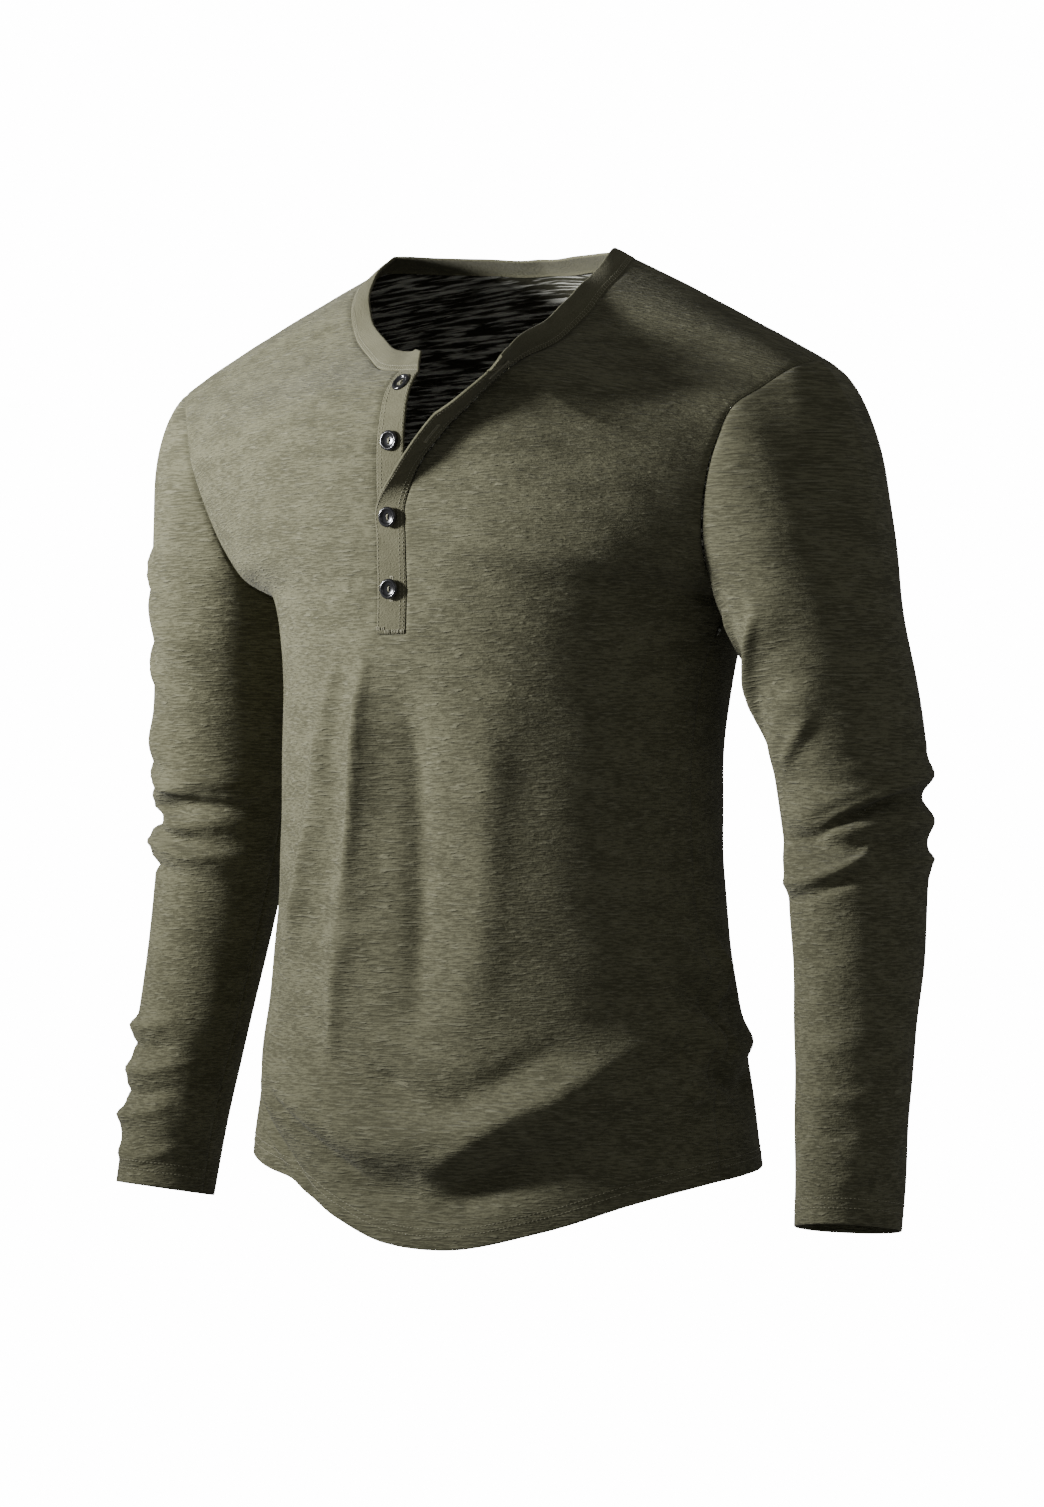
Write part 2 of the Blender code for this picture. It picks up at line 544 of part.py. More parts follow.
def sew_armholes(front, back):
    """Sets the walls' edges square to each armhole, and returns what the sleeves need."""
    rings = {}
    front_count = TOP_ROW - ARMPIT_ROW + 1
    for side in (-1, 1):
        ring, inward, outward = armhole(front, back, side)
        column = 0 if side < 0 else -1
        front.inward[ARMPIT_ROW:, column] = inward[:front_count][::-1]
        front.shift[ARMPIT_ROW:, column] -= outward[:front_count][::-1] * SEAM_GAP / 2
        back.inward[ARMPIT_ROW:-1, column] = inward[front_count - 1 :]
        back.shift[ARMPIT_ROW:-1, column] -= outward[front_count - 1 :] * SEAM_GAP / 2
        back.inward[-1, column] = inward[0]
        back.shift[-1, column] -= outward[0] * SEAM_GAP / 2
        rings[side] = (ring, inward, outward)
    return rings


def sew_sides_and_shoulders(front, back):
    """Parts the front from the back by the seam gap, with the walls' edges face to face."""
    apart = np.array([0.0, SEAM_GAP / 2, 0.0])
    for column, inward in ((0, (1.0, 0.0, 0.0)), (-1, (-1.0, 0.0, 0.0))):
        for wall, away in ((front, -apart), (back, apart)):
            wall.inward[:ARMPIT_ROW, column] = inward
            wall.shift[: ARMPIT_ROW + 1, column] += away
    front.shift[-1] -= apart
    back.shift[-1, : HALF_COLUMNS + 1] += apart
    back.shift[-1, -HALF_COLUMNS - 1 :] += apart


def neckband_directions(line, inward):
    """The way up the band from its seam, and the way in through it, for each point of the seam."""
    up = np.array([0.0, 0.0, 1.0])
    to_hole = np.array(NECK_HOLE) - line
    along = unit(np.gradient(line, axis=0))
    on_cloth = turn_about(inward, np.cross(along, inward), to_hole)
    level = turn_about(along * (1.0, 1.0, 0.0), np.cross(along, up), to_hole)
    slope = np.radians(BAND_SLOPE)
    standing = unit(level) * np.cos(slope) + up * np.sin(slope)
    share = np.clip((line[:, 1:2] + 0.08) / 0.06, 0, 1)
    rise = BAND_FRONT_RISE * np.clip(0.5 - line[:, :1] / 0.06, 0, 1)
    out = unit(unit(on_cloth + up * rise) * (1 - share) + standing * share)
    for k in range(STRIP_COLUMNS):
        lean = 1 - k / STRIP_COLUMNS
        out[k] = unit(out[k] * (1 - lean) + np.array(BAND_TAB_LEAN) * lean)
    out[-len(BAND_FLAP_TURN) :] = unit(np.array(BAND_FLAP_TURN))
    square = unit(np.cross(along, out))
    square *= np.sign(np.sum(square * inward))
    return out, square


def sew_neck_and_slot(front, back, under, over):
    """Makes room for the neckband and plackets, and returns the neckband's seam line."""
    neck = slice(HALF_COLUMNS + 1, HALF_COLUMNS + BACK_NECK_COLUMNS)
    parts = (
        (under, (-1, slice(None, 0, -1))),
        (front, (slice(CORNER_ROW, None), RIGHT_COLUMN)),
        (back, (-1, neck)),
        (front, (slice(None, CORNER_ROW - 1, -1), LEFT_COLUMN)),
        (over, (-1, slice(-2, None, -1))),
    )
    line = np.concatenate([wall.points[place] for wall, place in parts])
    inward = np.concatenate([wall.inward[place] for wall, place in parts])
    out, inward = neckband_directions(line, inward)
    first = 0
    for wall, place in parts:
        last = first + len(wall.points[place])
        wall.inward[place] = inward[first:last]
        wall.shift[place] -= out[first:last] * SEAM_GAP / 2
        first = last
    right_corner = STRIP_COLUMNS
    left_corner = len(line) - 1 - STRIP_COLUMNS
    shoulders = ((right_corner + NECK_ROWS, HALF_COLUMNS), (left_corner - NECK_ROWS, -HALF_COLUMNS - 1))
    for place, column in shoulders:
        back.inward[-1, column] = inward[place]
        back.shift[-1, column] -= out[place] * SEAM_GAP / 2
    for wall, place, column in ((under, right_corner, 0), (over, left_corner, -1)):
        wall.inward[-1, column] = inward[place]
        wall.shift[-1, column] -= out[place] * SEAM_GAP / 2
    rows = slice(SLOT_ROW, CORNER_ROW + 1)
    for wall, edge, column, beyond in ((under, 0, RIGHT_COLUMN, -1), (over, -1, LEFT_COLUMN, 1)):
        seam = front.points[rows, column]
        towards_front = front.points[rows, column + beyond] - seam
        across = unit(np.cross(np.gradient(seam, axis=0), front.inward[rows, column]))
        across *= np.sign(np.sum(across * towards_front, axis=1, keepdims=True))
        front.shift[rows, column] += across * SEAM_GAP / 2
        wall.shift[:, edge] -= across * SEAM_GAP / 2
    front.shift[SLOT_ROW, RIGHT_COLUMN : LEFT_COLUMN + 1] -= (0.0, 0.0, SEAM_GAP / 2)
    return line, inward, out


def turn_shoulder_walls(front, back):
    """Along the shoulder seams, turns both walls evenly from the armhole to the neck."""
    share = np.linspace(0, 1, HALF_COLUMNS + 1)[:, None]
    at_right = unit(front.inward[-1, 0] * (1 - share) + front.inward[-1, RIGHT_COLUMN] * share)
    at_left = unit(front.inward[-1, -1] * (1 - share) + front.inward[-1, LEFT_COLUMN] * share)
    front.inward[-1, : RIGHT_COLUMN + 1] = at_right
    back.inward[-1, : HALF_COLUMNS + 1] = at_right
    front.inward[-1, LEFT_COLUMN:] = at_left[::-1]
    back.inward[-1, -HALF_COLUMNS - 1 :] = at_left[::-1]


def build_placket(front, column, ends):
    """A strip from the front's edge at column to its free edge, given there as x, z and lift."""
    right_edge, left_edge = front_edges()
    seam = (right_edge if column == RIGHT_COLUMN else left_edge)[: PLACKET_ROWS + 1]
    share = np.linspace(0, 1, STRIP_COLUMNS + 1)[None, :, None]
    places = seam[:, None, :] + (ends - seam)[:, None, :] * share
    points, outward = front_place(places[..., 0], places[..., 1], places[..., 2])
    rows = slice(SLOT_ROW, CORNER_ROW + 1)
    points[:, 0] = front.points[rows, column]
    facing = 1.0 if column == RIGHT_COLUMN else -1.0
    inward = -grid_normals(points) * facing
    inward[:, 0] = unit(inward[:, 0] + front.inward[rows, column])
    front.inward[rows, column] = inward[:, 0]
    if facing < 0:
        points = points[:, ::-1]
        inward = inward[:, ::-1]
    wall = Wall(points, inward)
    wall.shift[0] += (0.0, 0.0, SEAM_GAP / 2)
    return wall


def build_plackets(front):
    """The button stand under the buttonhole side. Both are sewn to the front along the slot."""
    plackets = [dict(zip(PLACKET_COLUMNS, row)) for row in PLACKETS]
    stand_ends = np.array([[row["stand_edge_" + key] for key in ("x", "z", "lift")] for row in plackets])
    flap_ends = np.array([[row["edge_" + key] for key in ("x", "z", "lift")] for row in plackets])
    under = build_placket(front, RIGHT_COLUMN, stand_ends)
    over = build_placket(front, LEFT_COLUMN, flap_ends)
    return under, over


def build_neckband(line, inward, out):
    """The band stands on the neck seam and carries the slope of the shoulders on."""
    ends = np.ones(len(line))
    ends[0] = ends[-1] = 0.86
    shares = np.linspace(0, 1, STRIP_COLUMNS + 1)
    heights = NECKBAND_WIDTH * ends[None, :] * shares[:, None]
    points = line[None] + out[None] * heights[..., None]
    inside = np.repeat(inward[None], len(shares), axis=0)
    wall = Wall(points, inside)
    wall.thickness[:] = BAND_WALL
    wall.shift[0] += out * SEAM_GAP / 2
    return mirrored_columns(wall)


def sleeve_ring(knots, table, height, angles, side):
    """Centre, points and direction of the sleeve's ring at this height."""
    row = smooth_curve(knots, table, np.asarray(height))
    ahead = smooth_curve(knots, table, np.asarray(height) + 0.004)
    mirror = np.array([side, 1.0, 1.0])
    centre = row[:3] * mirror
    down = unit((row[:3] - ahead[:3]) * mirror)
    lateral = unit(np.array([side, 0.0, 0.0]) - down * down[0] * side)
    fore = unit(np.cross(down, lateral)) * side
    fore *= -np.sign(fore[1])
    around = np.cos(angles)[:, None] * lateral * row[3] + np.sin(angles)[:, None] * fore * row[4]
    return centre + around, down


def build_sleeve(ring, inward, outward, side, folds):
    """A tube from the armhole to the cuff. Its cap curves over the shoulder and into the upper arm."""
    front_count = TOP_ROW - ARMPIT_ROW + 1
    over_front = np.pi * shares_along(ring[:front_count])
    under_back = np.pi + np.pi * shares_along(np.concatenate([ring[front_count - 1 :], ring[:1]]))
    angles = np.concatenate([over_front, under_back[1:-1]])
    table = np.array(SLEEVE)[::-1]
    knots = table[:, 2]
    top = SLEEVE[0][2]
    upper, down = sleeve_ring(knots, table, top, angles, side)
    reach = np.linalg.norm(upper - ring, axis=1, keepdims=True)
    lean = (0.55 - 0.40 * np.cos(angles))[:, None]
    start = unit(outward * (1 - lean) + down * lean) * reach * CAP_FULLNESS
    end = down * reach * CAP_FULLNESS
    rows = []
    for t in np.linspace(0, 1, CAP_ROWS + 1):
        from_ring = ring * (2 * t**3 - 3 * t**2 + 1) + start * (t**3 - 2 * t**2 + t)
        rows.append(from_ring + upper * (3 * t**2 - 2 * t**3) + end * (t**3 - t**2))
    for height in SLEEVE_ROW_HEIGHTS:
        rows.append(sleeve_ring(knots, table, height, angles, side)[0])
    points = np.array(rows)
    facing = side
    normals = grid_normals(points, closed=True) * facing
    quarter = SLEEVE[2][3] * np.pi / 2
    turn = np.broadcast_to(angles / (np.pi / 2), points.shape[:2])
    size = fold_height(turn, points[..., 2], folds, quarter)
    size[:3] *= np.array([0.0, 0.3, 0.7])[:, None]
    points = points + normals * size[..., None]
    wall = Wall(points, -grid_normals(points, closed=True) * facing)
    wall.inward[0] = inward
    wall.shift[0] += outward * SEAM_GAP / 2
    wall.thickness[-2:] = HEM_WALL
    wall.closed = True
    wall.present = np.ones((points.shape[0] - 1, points.shape[1]), bool)
    return wall if facing > 0 else mirrored_columns(wall)


def mirrored_columns(wall):
    """The same wall with its columns the other way round, so that its faces point out."""
    turned = Wall(wall.points[:, ::-1], wall.inward[:, ::-1])
    turned.shift = wall.shift[:, ::-1]
    turned.thickness = wall.thickness[:, ::-1]
    turned.present = wall.present
    turned.closed = wall.closed
    return turned


def on_placket(wall, x, z):
    """The outer point of a placket that has this x and z."""
    outer = wall.points + wall.shift
    at_height = sorted(
        [np.interp(z, column[:, 2], column[:, 0]), np.interp(z, column[:, 2], column[:, 1])]
        for column in np.moveaxis(outer, 1, 0)
    )
    across, forward = np.array(at_height).T
    return np.array([x, np.interp(x, across, forward), z])


def build_button(number, placket):
    """A turned button: rounded rim, dished face and two thread holes."""
    radius = BUTTON_DIAMETER / 2
    thick = BUTTON_THICKNESS
    profile = (
        (0.0, 0.0),
        (0.62 * radius, 0.0),
        (0.97 * radius, 0.32 * thick),
        (radius, 0.62 * thick),
        (0.88 * radius, 0.97 * thick),
        (0.74 * radius, thick),
        (0.52 * radius, 0.68 * thick),
        (0.0, 0.56 * thick),
    )
    hole = ((0, -thick), (BUTTON_HOLE / 2, -thick), (BUTTON_HOLE / 2, 2 * thick), (0, 2 * thick))
    name = f"button_{number}"
    disc = turned_shape(name, profile, 24)
    for sign in (-1, 1):
        cutter = turned_shape(f"{name}_hole_{sign}", hole, 10)
        cutter.location = (0.0, sign * BUTTON_HOLE_SPREAD, 0.0)
        cutter.hide_render = True
        cutter.display_type = "WIRE"
        cut = disc.modifiers.new("thread hole", "BOOLEAN")
        cut.operation = "DIFFERENCE"
        cut.object = cutter
        cutter.parent = disc
    height = BUTTON_HEIGHTS[number - 1]
    place = on_placket(placket, 0.0, height)
    sideways = on_placket(placket, radius / 2, height) - place
    upward = on_placket(placket, 0.0, height + radius / 2) - place
    outward = unit(np.cross(sideways, upward))
    disc.location = place + outward * BUTTON_GAP
    disc.rotation_euler = Vector(outward).to_track_quat("Z", "Y").to_euler()
    return disc


def turned_shape(name, profile, sides):
    """A solid turned round Z from (radius, height) points that start and end on the axis."""
    vertices = [(0.0, 0.0, profile[0][1])]
    faces = []
    rings = profile[1:-1]
    for radius, height in rings:
        for k in range(sides):
            angle = 2 * math.pi * k / sides
            vertices.append((radius * math.cos(angle), radius * math.sin(angle), height))
    vertices.append((0.0, 0.0, profile[-1][1]))
    last = len(vertices) - 1
    for k in range(sides):
        after = (k + 1) % sides
        faces.append((0, 1 + after, 1 + k))
        for ring in range(len(rings) - 1):
            low = 1 + ring * sides
            faces.append((low + k, low + after, low + sides + after, low + sides + k))
        top = 1 + (len(rings) - 1) * sides
        faces.append((top + k, top + after, last))
    return add_object(name, vertices, faces, BUTTON_BLACK, 0.25)


def clear_scene():
    for obj in list(bpy.data.objects):
        bpy.data.objects.remove(obj, do_unlink=True)


def main():
    clear_scene()
    front, shoulder = build_front_grid()
    back = build_back_grid(front, shoulder)
    sew_sides_and_shoulders(front, back)
    rings = sew_armholes(front, back)
    under, over = build_plackets(front)
    neckband = build_neckband(*sew_neck_and_slot(front, back, under, over))
    turn_shoulder_walls(front, back)
    front.build("front", OLIVE)
    mirrored_columns(back).build("back", OLIVE)
    under.build("placket_under", OLIVE_TRIM)
    over.build("placket_over", OLIVE_TRIM)
    neckband.build("neckband", OLIVE_TRIM)
    for side, name, folds in ((1, "sleeve_left", LEFT_SLEEVE_FOLDS), (-1, "sleeve_right", RIGHT_SLEEVE_FOLDS)):
        build_sleeve(*rings[side], side, folds).build(name, OLIVE)
    for number in range(1, len(BUTTON_HEIGHTS) + 1):
        build_button(number, under if number <= BUTTONS_ON_THE_STAND else over)


main()
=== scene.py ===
# %% [markdown]
# # A slub-jersey henley with nobody in it
#
# This lesson dresses a men's henley: a long-sleeved jersey shirt with a narrow neckband and a short
# button placket. The shirt stands filled out as if worn, the two upper buttons are open, and the edge
# of the wearer's left front stands off the chest. Solids for every cut-and-sewn piece exist already.
# Here each of them is replaced by a fine shell of cloth on the same form, with its creases, seams,
# stitches and yarn.
#
# The solids come in first.

# %% Load the solids
import math

import bpy
import numpy as np
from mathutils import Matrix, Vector


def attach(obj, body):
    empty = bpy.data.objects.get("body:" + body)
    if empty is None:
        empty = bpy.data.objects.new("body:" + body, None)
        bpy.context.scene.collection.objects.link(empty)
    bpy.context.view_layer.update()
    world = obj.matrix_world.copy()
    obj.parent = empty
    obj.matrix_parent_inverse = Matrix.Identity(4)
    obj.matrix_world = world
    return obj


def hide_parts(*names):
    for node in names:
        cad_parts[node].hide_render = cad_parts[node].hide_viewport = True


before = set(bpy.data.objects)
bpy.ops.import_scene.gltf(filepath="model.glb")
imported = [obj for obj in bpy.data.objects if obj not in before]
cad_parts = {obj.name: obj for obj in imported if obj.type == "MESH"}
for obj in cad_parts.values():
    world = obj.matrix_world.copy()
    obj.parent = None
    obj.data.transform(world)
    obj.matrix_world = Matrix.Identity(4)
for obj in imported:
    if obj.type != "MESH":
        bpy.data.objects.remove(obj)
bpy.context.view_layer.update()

# %% [markdown]
# ## Curves through short tables
#
# A pattern maker keeps a garment as a few measured lines, and the cloth between them is a smooth
# surface. So does this file: each table below has a row per level of the body, and one helper reads a
# smooth curve through the rows at any place between them.

# %% Helpers for lines and grids
def unit(vectors):
    return vectors / np.maximum(np.linalg.norm(vectors, axis=-1, keepdims=True), 1e-12)


def hermite(start, leaving, end, arriving, t):
    """A cubic from start to end, which leaves the one and arrives at the other with these slopes."""
    first = start * (2 * t**3 - 3 * t**2 + 1) + leaving * (t**3 - 2 * t**2 + t)
    return first + (end * (3 * t**2 - 2 * t**3) + arriving * (t**3 - t**2))


def smooth_curve(knots, values, at):
    """A smooth curve through table values at uneven knots, read at one place or many."""
    knots, values, at = (np.asarray(x, float) for x in (knots, values, at))
    slopes = np.gradient(values, knots, axis=0)
    low = np.clip(np.searchsorted(knots, at, side="right") - 1, 0, len(knots) - 2)
    high = low + 1
    span = (knots[high] - knots[low])[..., None]
    t = (at - knots[low])[..., None] / span
    return hermite(values[low], slopes[low] * span, values[high], slopes[high] * span, t)


def shares_along(points):
    """How far along a line of points each of them lies, from 0 to 1."""
    along = lengths_along(points)
    return along / along[-1]


def lengths_along(points):
    steps = np.linalg.norm(np.diff(np.asarray(points, float), axis=0), axis=-1)
    return np.concatenate([np.zeros((1,) + steps.shape[1:]), np.cumsum(steps, axis=0)])


def grid_normals(points, closed=False):
    """The way out of a grid whose rows run up and whose columns run to the right, seen from outside."""
    if closed:
        wrapped = np.concatenate([points[:, -1:], points, points[:, :1]], axis=1)
        sideways = (wrapped[:, 2:] - wrapped[:, :-2]) / 2
    else:
        sideways = np.gradient(points, axis=1)
    return unit(np.cross(sideways, np.gradient(points, axis=0)))


def nearest(values, value):
    """Which value in a line lies nearest to this one."""
    return int(np.argmin(np.abs(values - value)))


def square_to(directions, vector, like):
    """vector made square to each direction, and pointing the same way as like."""
    square = unit(vector - directions * np.sum(vector * directions, axis=-1, keepdims=True))
    return square * np.sign(np.sum(square * like, axis=-1, keepdims=True))


print("curve test:", smooth_curve([0, 1, 2], [[0.0], [1.0], [4.0]], 1.5))

# %% [markdown]
# ## The form of the body
#
# Below the arms the body is a tube, given by the side seam and the middles of the panels at six
# levels. Above them each panel has its armhole edge on one side and a middle line that curves in
# towards the neck. A superellipse joins the edge to the middle, which keeps the chest full without
# any point that was placed by eye. All sizes are metres; the front faces -Y and the wearer's left
# is +X.

# %% Body tables
GIRTH_QUARTER = 0.240
ROUNDNESS = 0.92
WRAP = {"front": 82.0, "back": 98.0}
# side_x, side_y, side_z, front_y, front_z, back_y, back_z
LOWER_BODY = (
    (0.192, -0.014, -0.640, -0.139, -0.640, 0.130, -0.640),
    (0.185, -0.013, -0.575, -0.136, -0.585, 0.116, -0.580),
    (0.176, -0.012, -0.500, -0.131, -0.508, 0.100, -0.505),
    (0.168, -0.012, -0.420, -0.128, -0.426, 0.093, -0.423),
    (0.167, -0.009, -0.335, -0.130, -0.335, 0.102, -0.332),
    (0.172, 0.001, -0.285, -0.131, -0.276, 0.112, -0.276),
)
# quarter turns from the middle of the front, height of the hem
HEM_LINE = (
    (-2.0, -0.640), (-1.4, -0.637), (-1.0, -0.635), (-0.66, -0.636), (-0.48, -0.642), (-0.30, -0.652),
    (-0.15, -0.670), (0.0, -0.686), (0.13, -0.689), (0.42, -0.675), (0.69, -0.656), (1.0, -0.643),
    (1.4, -0.637), (2.0, -0.640),
)
HEM_LINE_REACH = 0.45
# edge_x, edge_y, edge_z, middle_y, middle_z, wrap, drop
UPPER_FRONT = (
    (0.182, 0.010, -0.252, -0.1310, -0.240, 84, 2.0),
    (0.190, -0.012, -0.243, -0.1315, -0.226, 80, 2.0),
    (0.199, -0.042, -0.229, -0.1320, -0.210, 75, 1.9),
    (0.205, -0.058, -0.209, -0.1330, -0.175, 68, 1.8),
    (0.215, -0.069, -0.176, -0.1310, -0.130, 60, 1.7),
    (0.226, -0.072, -0.145, -0.1170, -0.098, 53, 1.6),
    (0.235, -0.065, -0.121, -0.0810, -0.074, 48, 1.6),
    (0.248, -0.050, -0.108, -0.0590, -0.048, 44, 1.5),
    (0.262, -0.032, -0.094, -0.0430, -0.020, 40, 1.4),
    (0.267, -0.010, -0.088, -0.0010, 0.036, 36, 0.95),
)
UPPER_BACK = (
    (0.182, 0.010, -0.252, 0.1200, -0.240, 96, 2.0),
    (0.198, 0.048, -0.238, 0.1220, -0.215, 84, 1.9),
    (0.212, 0.071, -0.212, 0.1240, -0.175, 70, 1.8),
    (0.224, 0.079, -0.184, 0.1240, -0.135, 60, 1.7),
    (0.236, 0.078, -0.155, 0.1190, -0.098, 53, 1.6),
    (0.246, 0.068, -0.131, 0.1050, -0.066, 48, 1.5),
    (0.256, 0.048, -0.110, 0.0750, -0.028, 43, 1.35),
    (0.265, 0.022, -0.094, 0.0490, -0.008, 39, 1.20),
    (0.267, -0.010, -0.088, -0.0010, 0.036, 36, 0.95),
)


def panel_rows(name, upper):
    """Knots and rows of a panel: 0 is the hem, 1 the armpit and 2 the shoulder."""
    middle = slice(3, 5) if name == "front" else slice(5, 7)
    lower = [[*row[:3], *row[middle], WRAP[name], 2.0] for row in LOWER_BODY]
    rows = np.array(lower + [list(row) for row in upper])
    below = shares_along(rows[: len(lower) + 1, :3])
    above = shares_along(rows[len(lower) :, :3])
    return np.concatenate([below, 1 + above[1:]]), rows


FRONT = panel_rows("front", UPPER_FRONT)
BACK = panel_rows("back", UPPER_BACK)


def smooth_panel(panel, across, up):
    """The panel without folds. across is -1 at the wearer's right edge and 1 at the left one."""
    across, up = np.broadcast_arrays(np.asarray(across, float), np.asarray(up, float))
    row = smooth_curve(panel[0], panel[1], up)
    edge_x, edge_y, edge_z, middle_y, middle_z, wrap, drop = np.moveaxis(row, -1, 0)
    wrap = np.radians(wrap)
    share = np.minimum(np.abs(across), 1.0)
    side = (np.sin(share * wrap) / np.sin(wrap)) ** ROUNDNESS
    depth = np.clip((np.cos(share * wrap) - np.cos(wrap)) / (1 - np.cos(wrap)), 0, 1) ** ROUNDNESS
    x = np.sign(across) * edge_x * side
    y = edge_y + (middle_y - edge_y) * depth
    z = edge_z + (middle_z - edge_z) * (1 - share**drop)
    return np.stack([x, y, z], axis=-1)


print("chest level, middle of the front:", smooth_panel(FRONT, 0.0, 1.2).round(3))

# %% [markdown]
# ## Folds
#
# Jersey hangs in soft folds where it is gathered by gravity, and in sharper creases where an arm bends.
# A simulation would make some folds, but not these ones, so each is listed: half its width, its
# height (less than nothing for a trough) and a few points that it runs through. A fold dies away at
# both ends. The first tables hold the folds that the solids have too, and the crease tables add the
# smaller ones.

# %% Fold tables for the body
BODY_FOLDS = (
    (0.014, 0.0075, ((-0.07, -0.250), (-0.12, -0.390), (-0.17, -0.505), (-0.20, -0.580))),
    (0.015, 0.0065, ((-0.22, -0.280), (-0.30, -0.390), (-0.41, -0.467), (-0.56, -0.515))),
    (0.022, -0.0060, ((0.05, -0.270), (0.06, -0.430), (0.06, -0.600))),
    (0.018, 0.0045, ((0.30, -0.300), (0.27, -0.450), (0.22, -0.560))),
    (0.018, 0.0130, ((-0.72, -0.535), (-0.30, -0.592), (0.10, -0.622), (0.45, -0.592), (0.90, -0.520))),
    (0.015, -0.0090, ((-0.60, -0.580), (0.05, -0.652), (0.45, -0.628), (0.95, -0.555))),
    (0.014, 0.0080, ((1.02, -0.572), (0.70, -0.585), (0.42, -0.632))),
    (0.012, 0.0070, ((-0.62, -0.565), (-0.30, -0.620), (0.02, -0.668))),
    (0.012, -0.0060, ((-0.80, -0.580), (-0.40, -0.640), (-0.22, -0.668))),
    (0.010, 0.0070, ((0.80, -0.470), (1.02, -0.500), (1.20, -0.490))),
    (0.009, -0.0060, ((0.85, -0.500), (1.05, -0.525), (1.25, -0.520))),
    (0.010, 0.0080, ((0.90, -0.530), (1.08, -0.553), (1.35, -0.540))),
    (0.009, -0.0070, ((0.95, -0.560), (1.10, -0.582), (1.30, -0.575))),
    (0.014, 0.0060, ((-1.35, -0.530), (-1.05, -0.548), (-0.80, -0.540))),
    (0.012, -0.0050, ((-1.40, -0.565), (-1.05, -0.580), (-0.85, -0.572))),
    (0.018, 0.0070, ((1.35, -0.520), (1.70, -0.585), (2.05, -0.612), (2.45, -0.575), (2.80, -0.520))),
    (0.014, -0.0050, ((1.40, -0.560), (2.00, -0.645), (2.60, -0.570))),
    (0.016, 0.0045, ((1.80, -0.250), (1.84, -0.370), (1.75, -0.500))),
    (0.016, 0.0040, ((2.25, -0.260), (2.20, -0.380), (2.32, -0.500))),
    (0.020, -0.0040, ((2.02, -0.230), (2.02, -0.360), (2.05, -0.500))),
)
BODY_CREASES = (
    (0.0041, 0.0039, ((-0.065, -0.268), (-0.085, -0.310), (-0.115, -0.390), (-0.150, -0.470))),
    (0.0055, 0.0026, ((-0.15, -0.480), (-0.17, -0.530), (-0.19, -0.575))),
    (0.0074, 0.0026, ((-0.17, -0.270), (-0.24, -0.330), (-0.30, -0.380))),
    (0.0064, 0.0029, ((-0.30, -0.390), (-0.36, -0.440), (-0.42, -0.490))),
    (0.0092, -0.0039, ((0.02, -0.290), (0.05, -0.360), (0.06, -0.470), (0.05, -0.560))),
    (0.0110, -0.0029, ((-0.02, -0.560), (0.03, -0.600), (0.08, -0.615))),
    (0.0046, -0.0052, ((-0.72, -0.570), (-0.45, -0.618), (-0.22, -0.660), (-0.14, -0.676))),
    (0.0037, 0.0039, ((-0.74, -0.578), (-0.50, -0.618), (-0.30, -0.648), (-0.22, -0.668))),
    (0.0046, -0.0042, ((-0.50, -0.575), (-0.25, -0.612), (-0.05, -0.650), (0.00, -0.664))),
    (0.0064, 0.0034, ((0.02, -0.660), (0.12, -0.650), (0.28, -0.630), (0.45, -0.612))),
    (0.0055, 0.0034, ((0.62, -0.560), (0.80, -0.545), (0.95, -0.530))),
    (0.0046, -0.0034, ((0.60, -0.578), (0.82, -0.562), (1.00, -0.548))),
    (0.0046, 0.0039, ((0.85, -0.590), (0.98, -0.583), (1.12, -0.588))),
    (0.0046, -0.0039, ((0.98, -0.520), (1.06, -0.540), (1.04, -0.566))),
    (0.0055, 0.0036, ((1.05, -0.470), (1.10, -0.505), (1.06, -0.535))),
    (0.0055, 0.0031, ((0.70, -0.262), (0.86, -0.252), (1.00, -0.262))),
    (0.0055, -0.0026, ((0.66, -0.280), (0.84, -0.276), (1.00, -0.290))),
    (0.0055, 0.0031, ((-0.70, -0.262), (-0.86, -0.254), (-1.00, -0.264))),
    (0.0055, 0.0029, ((-1.05, -0.480), (-1.12, -0.515), (-1.06, -0.545))),
    (0.0046, -0.0034, ((-1.20, -0.560), (-1.00, -0.572), (-0.84, -0.566))),
    (0.0055, 0.0029, ((1.50, -0.560), (1.75, -0.598), (1.98, -0.618))),
    (0.0055, 0.0031, ((2.10, -0.600), (2.35, -0.575), (2.60, -0.545))),
    (0.0074, 0.0029, ((1.72, -0.170), (1.84, -0.220), (1.88, -0.290))),
    (0.0074, 0.0026, ((2.30, -0.165), (2.18, -0.230), (2.14, -0.300))),
    (0.0064, -0.0026, ((1.40, -0.235), (1.55, -0.222), (1.72, -0.232))),
    (0.0064, -0.0026, ((2.60, -0.240), (2.46, -0.226), (2.30, -0.238))),
    (0.0070, 0.0040, ((-0.60, -0.546), (-0.31, -0.562), (-0.14, -0.592), (0.09, -0.612), (0.36, -0.593),
                      (0.80, -0.535))),
    (0.0090, -0.0045, ((-0.20, -0.550), (0.00, -0.580), (0.14, -0.590), (0.36, -0.568), (0.56, -0.540))),
    (0.0080, 0.0045, ((0.42, -0.585), (0.30, -0.605), (0.155, -0.632), (0.03, -0.660))),
    (0.0090, -0.0045, ((0.55, -0.608), (0.38, -0.628), (0.24, -0.650), (0.14, -0.670))),
)
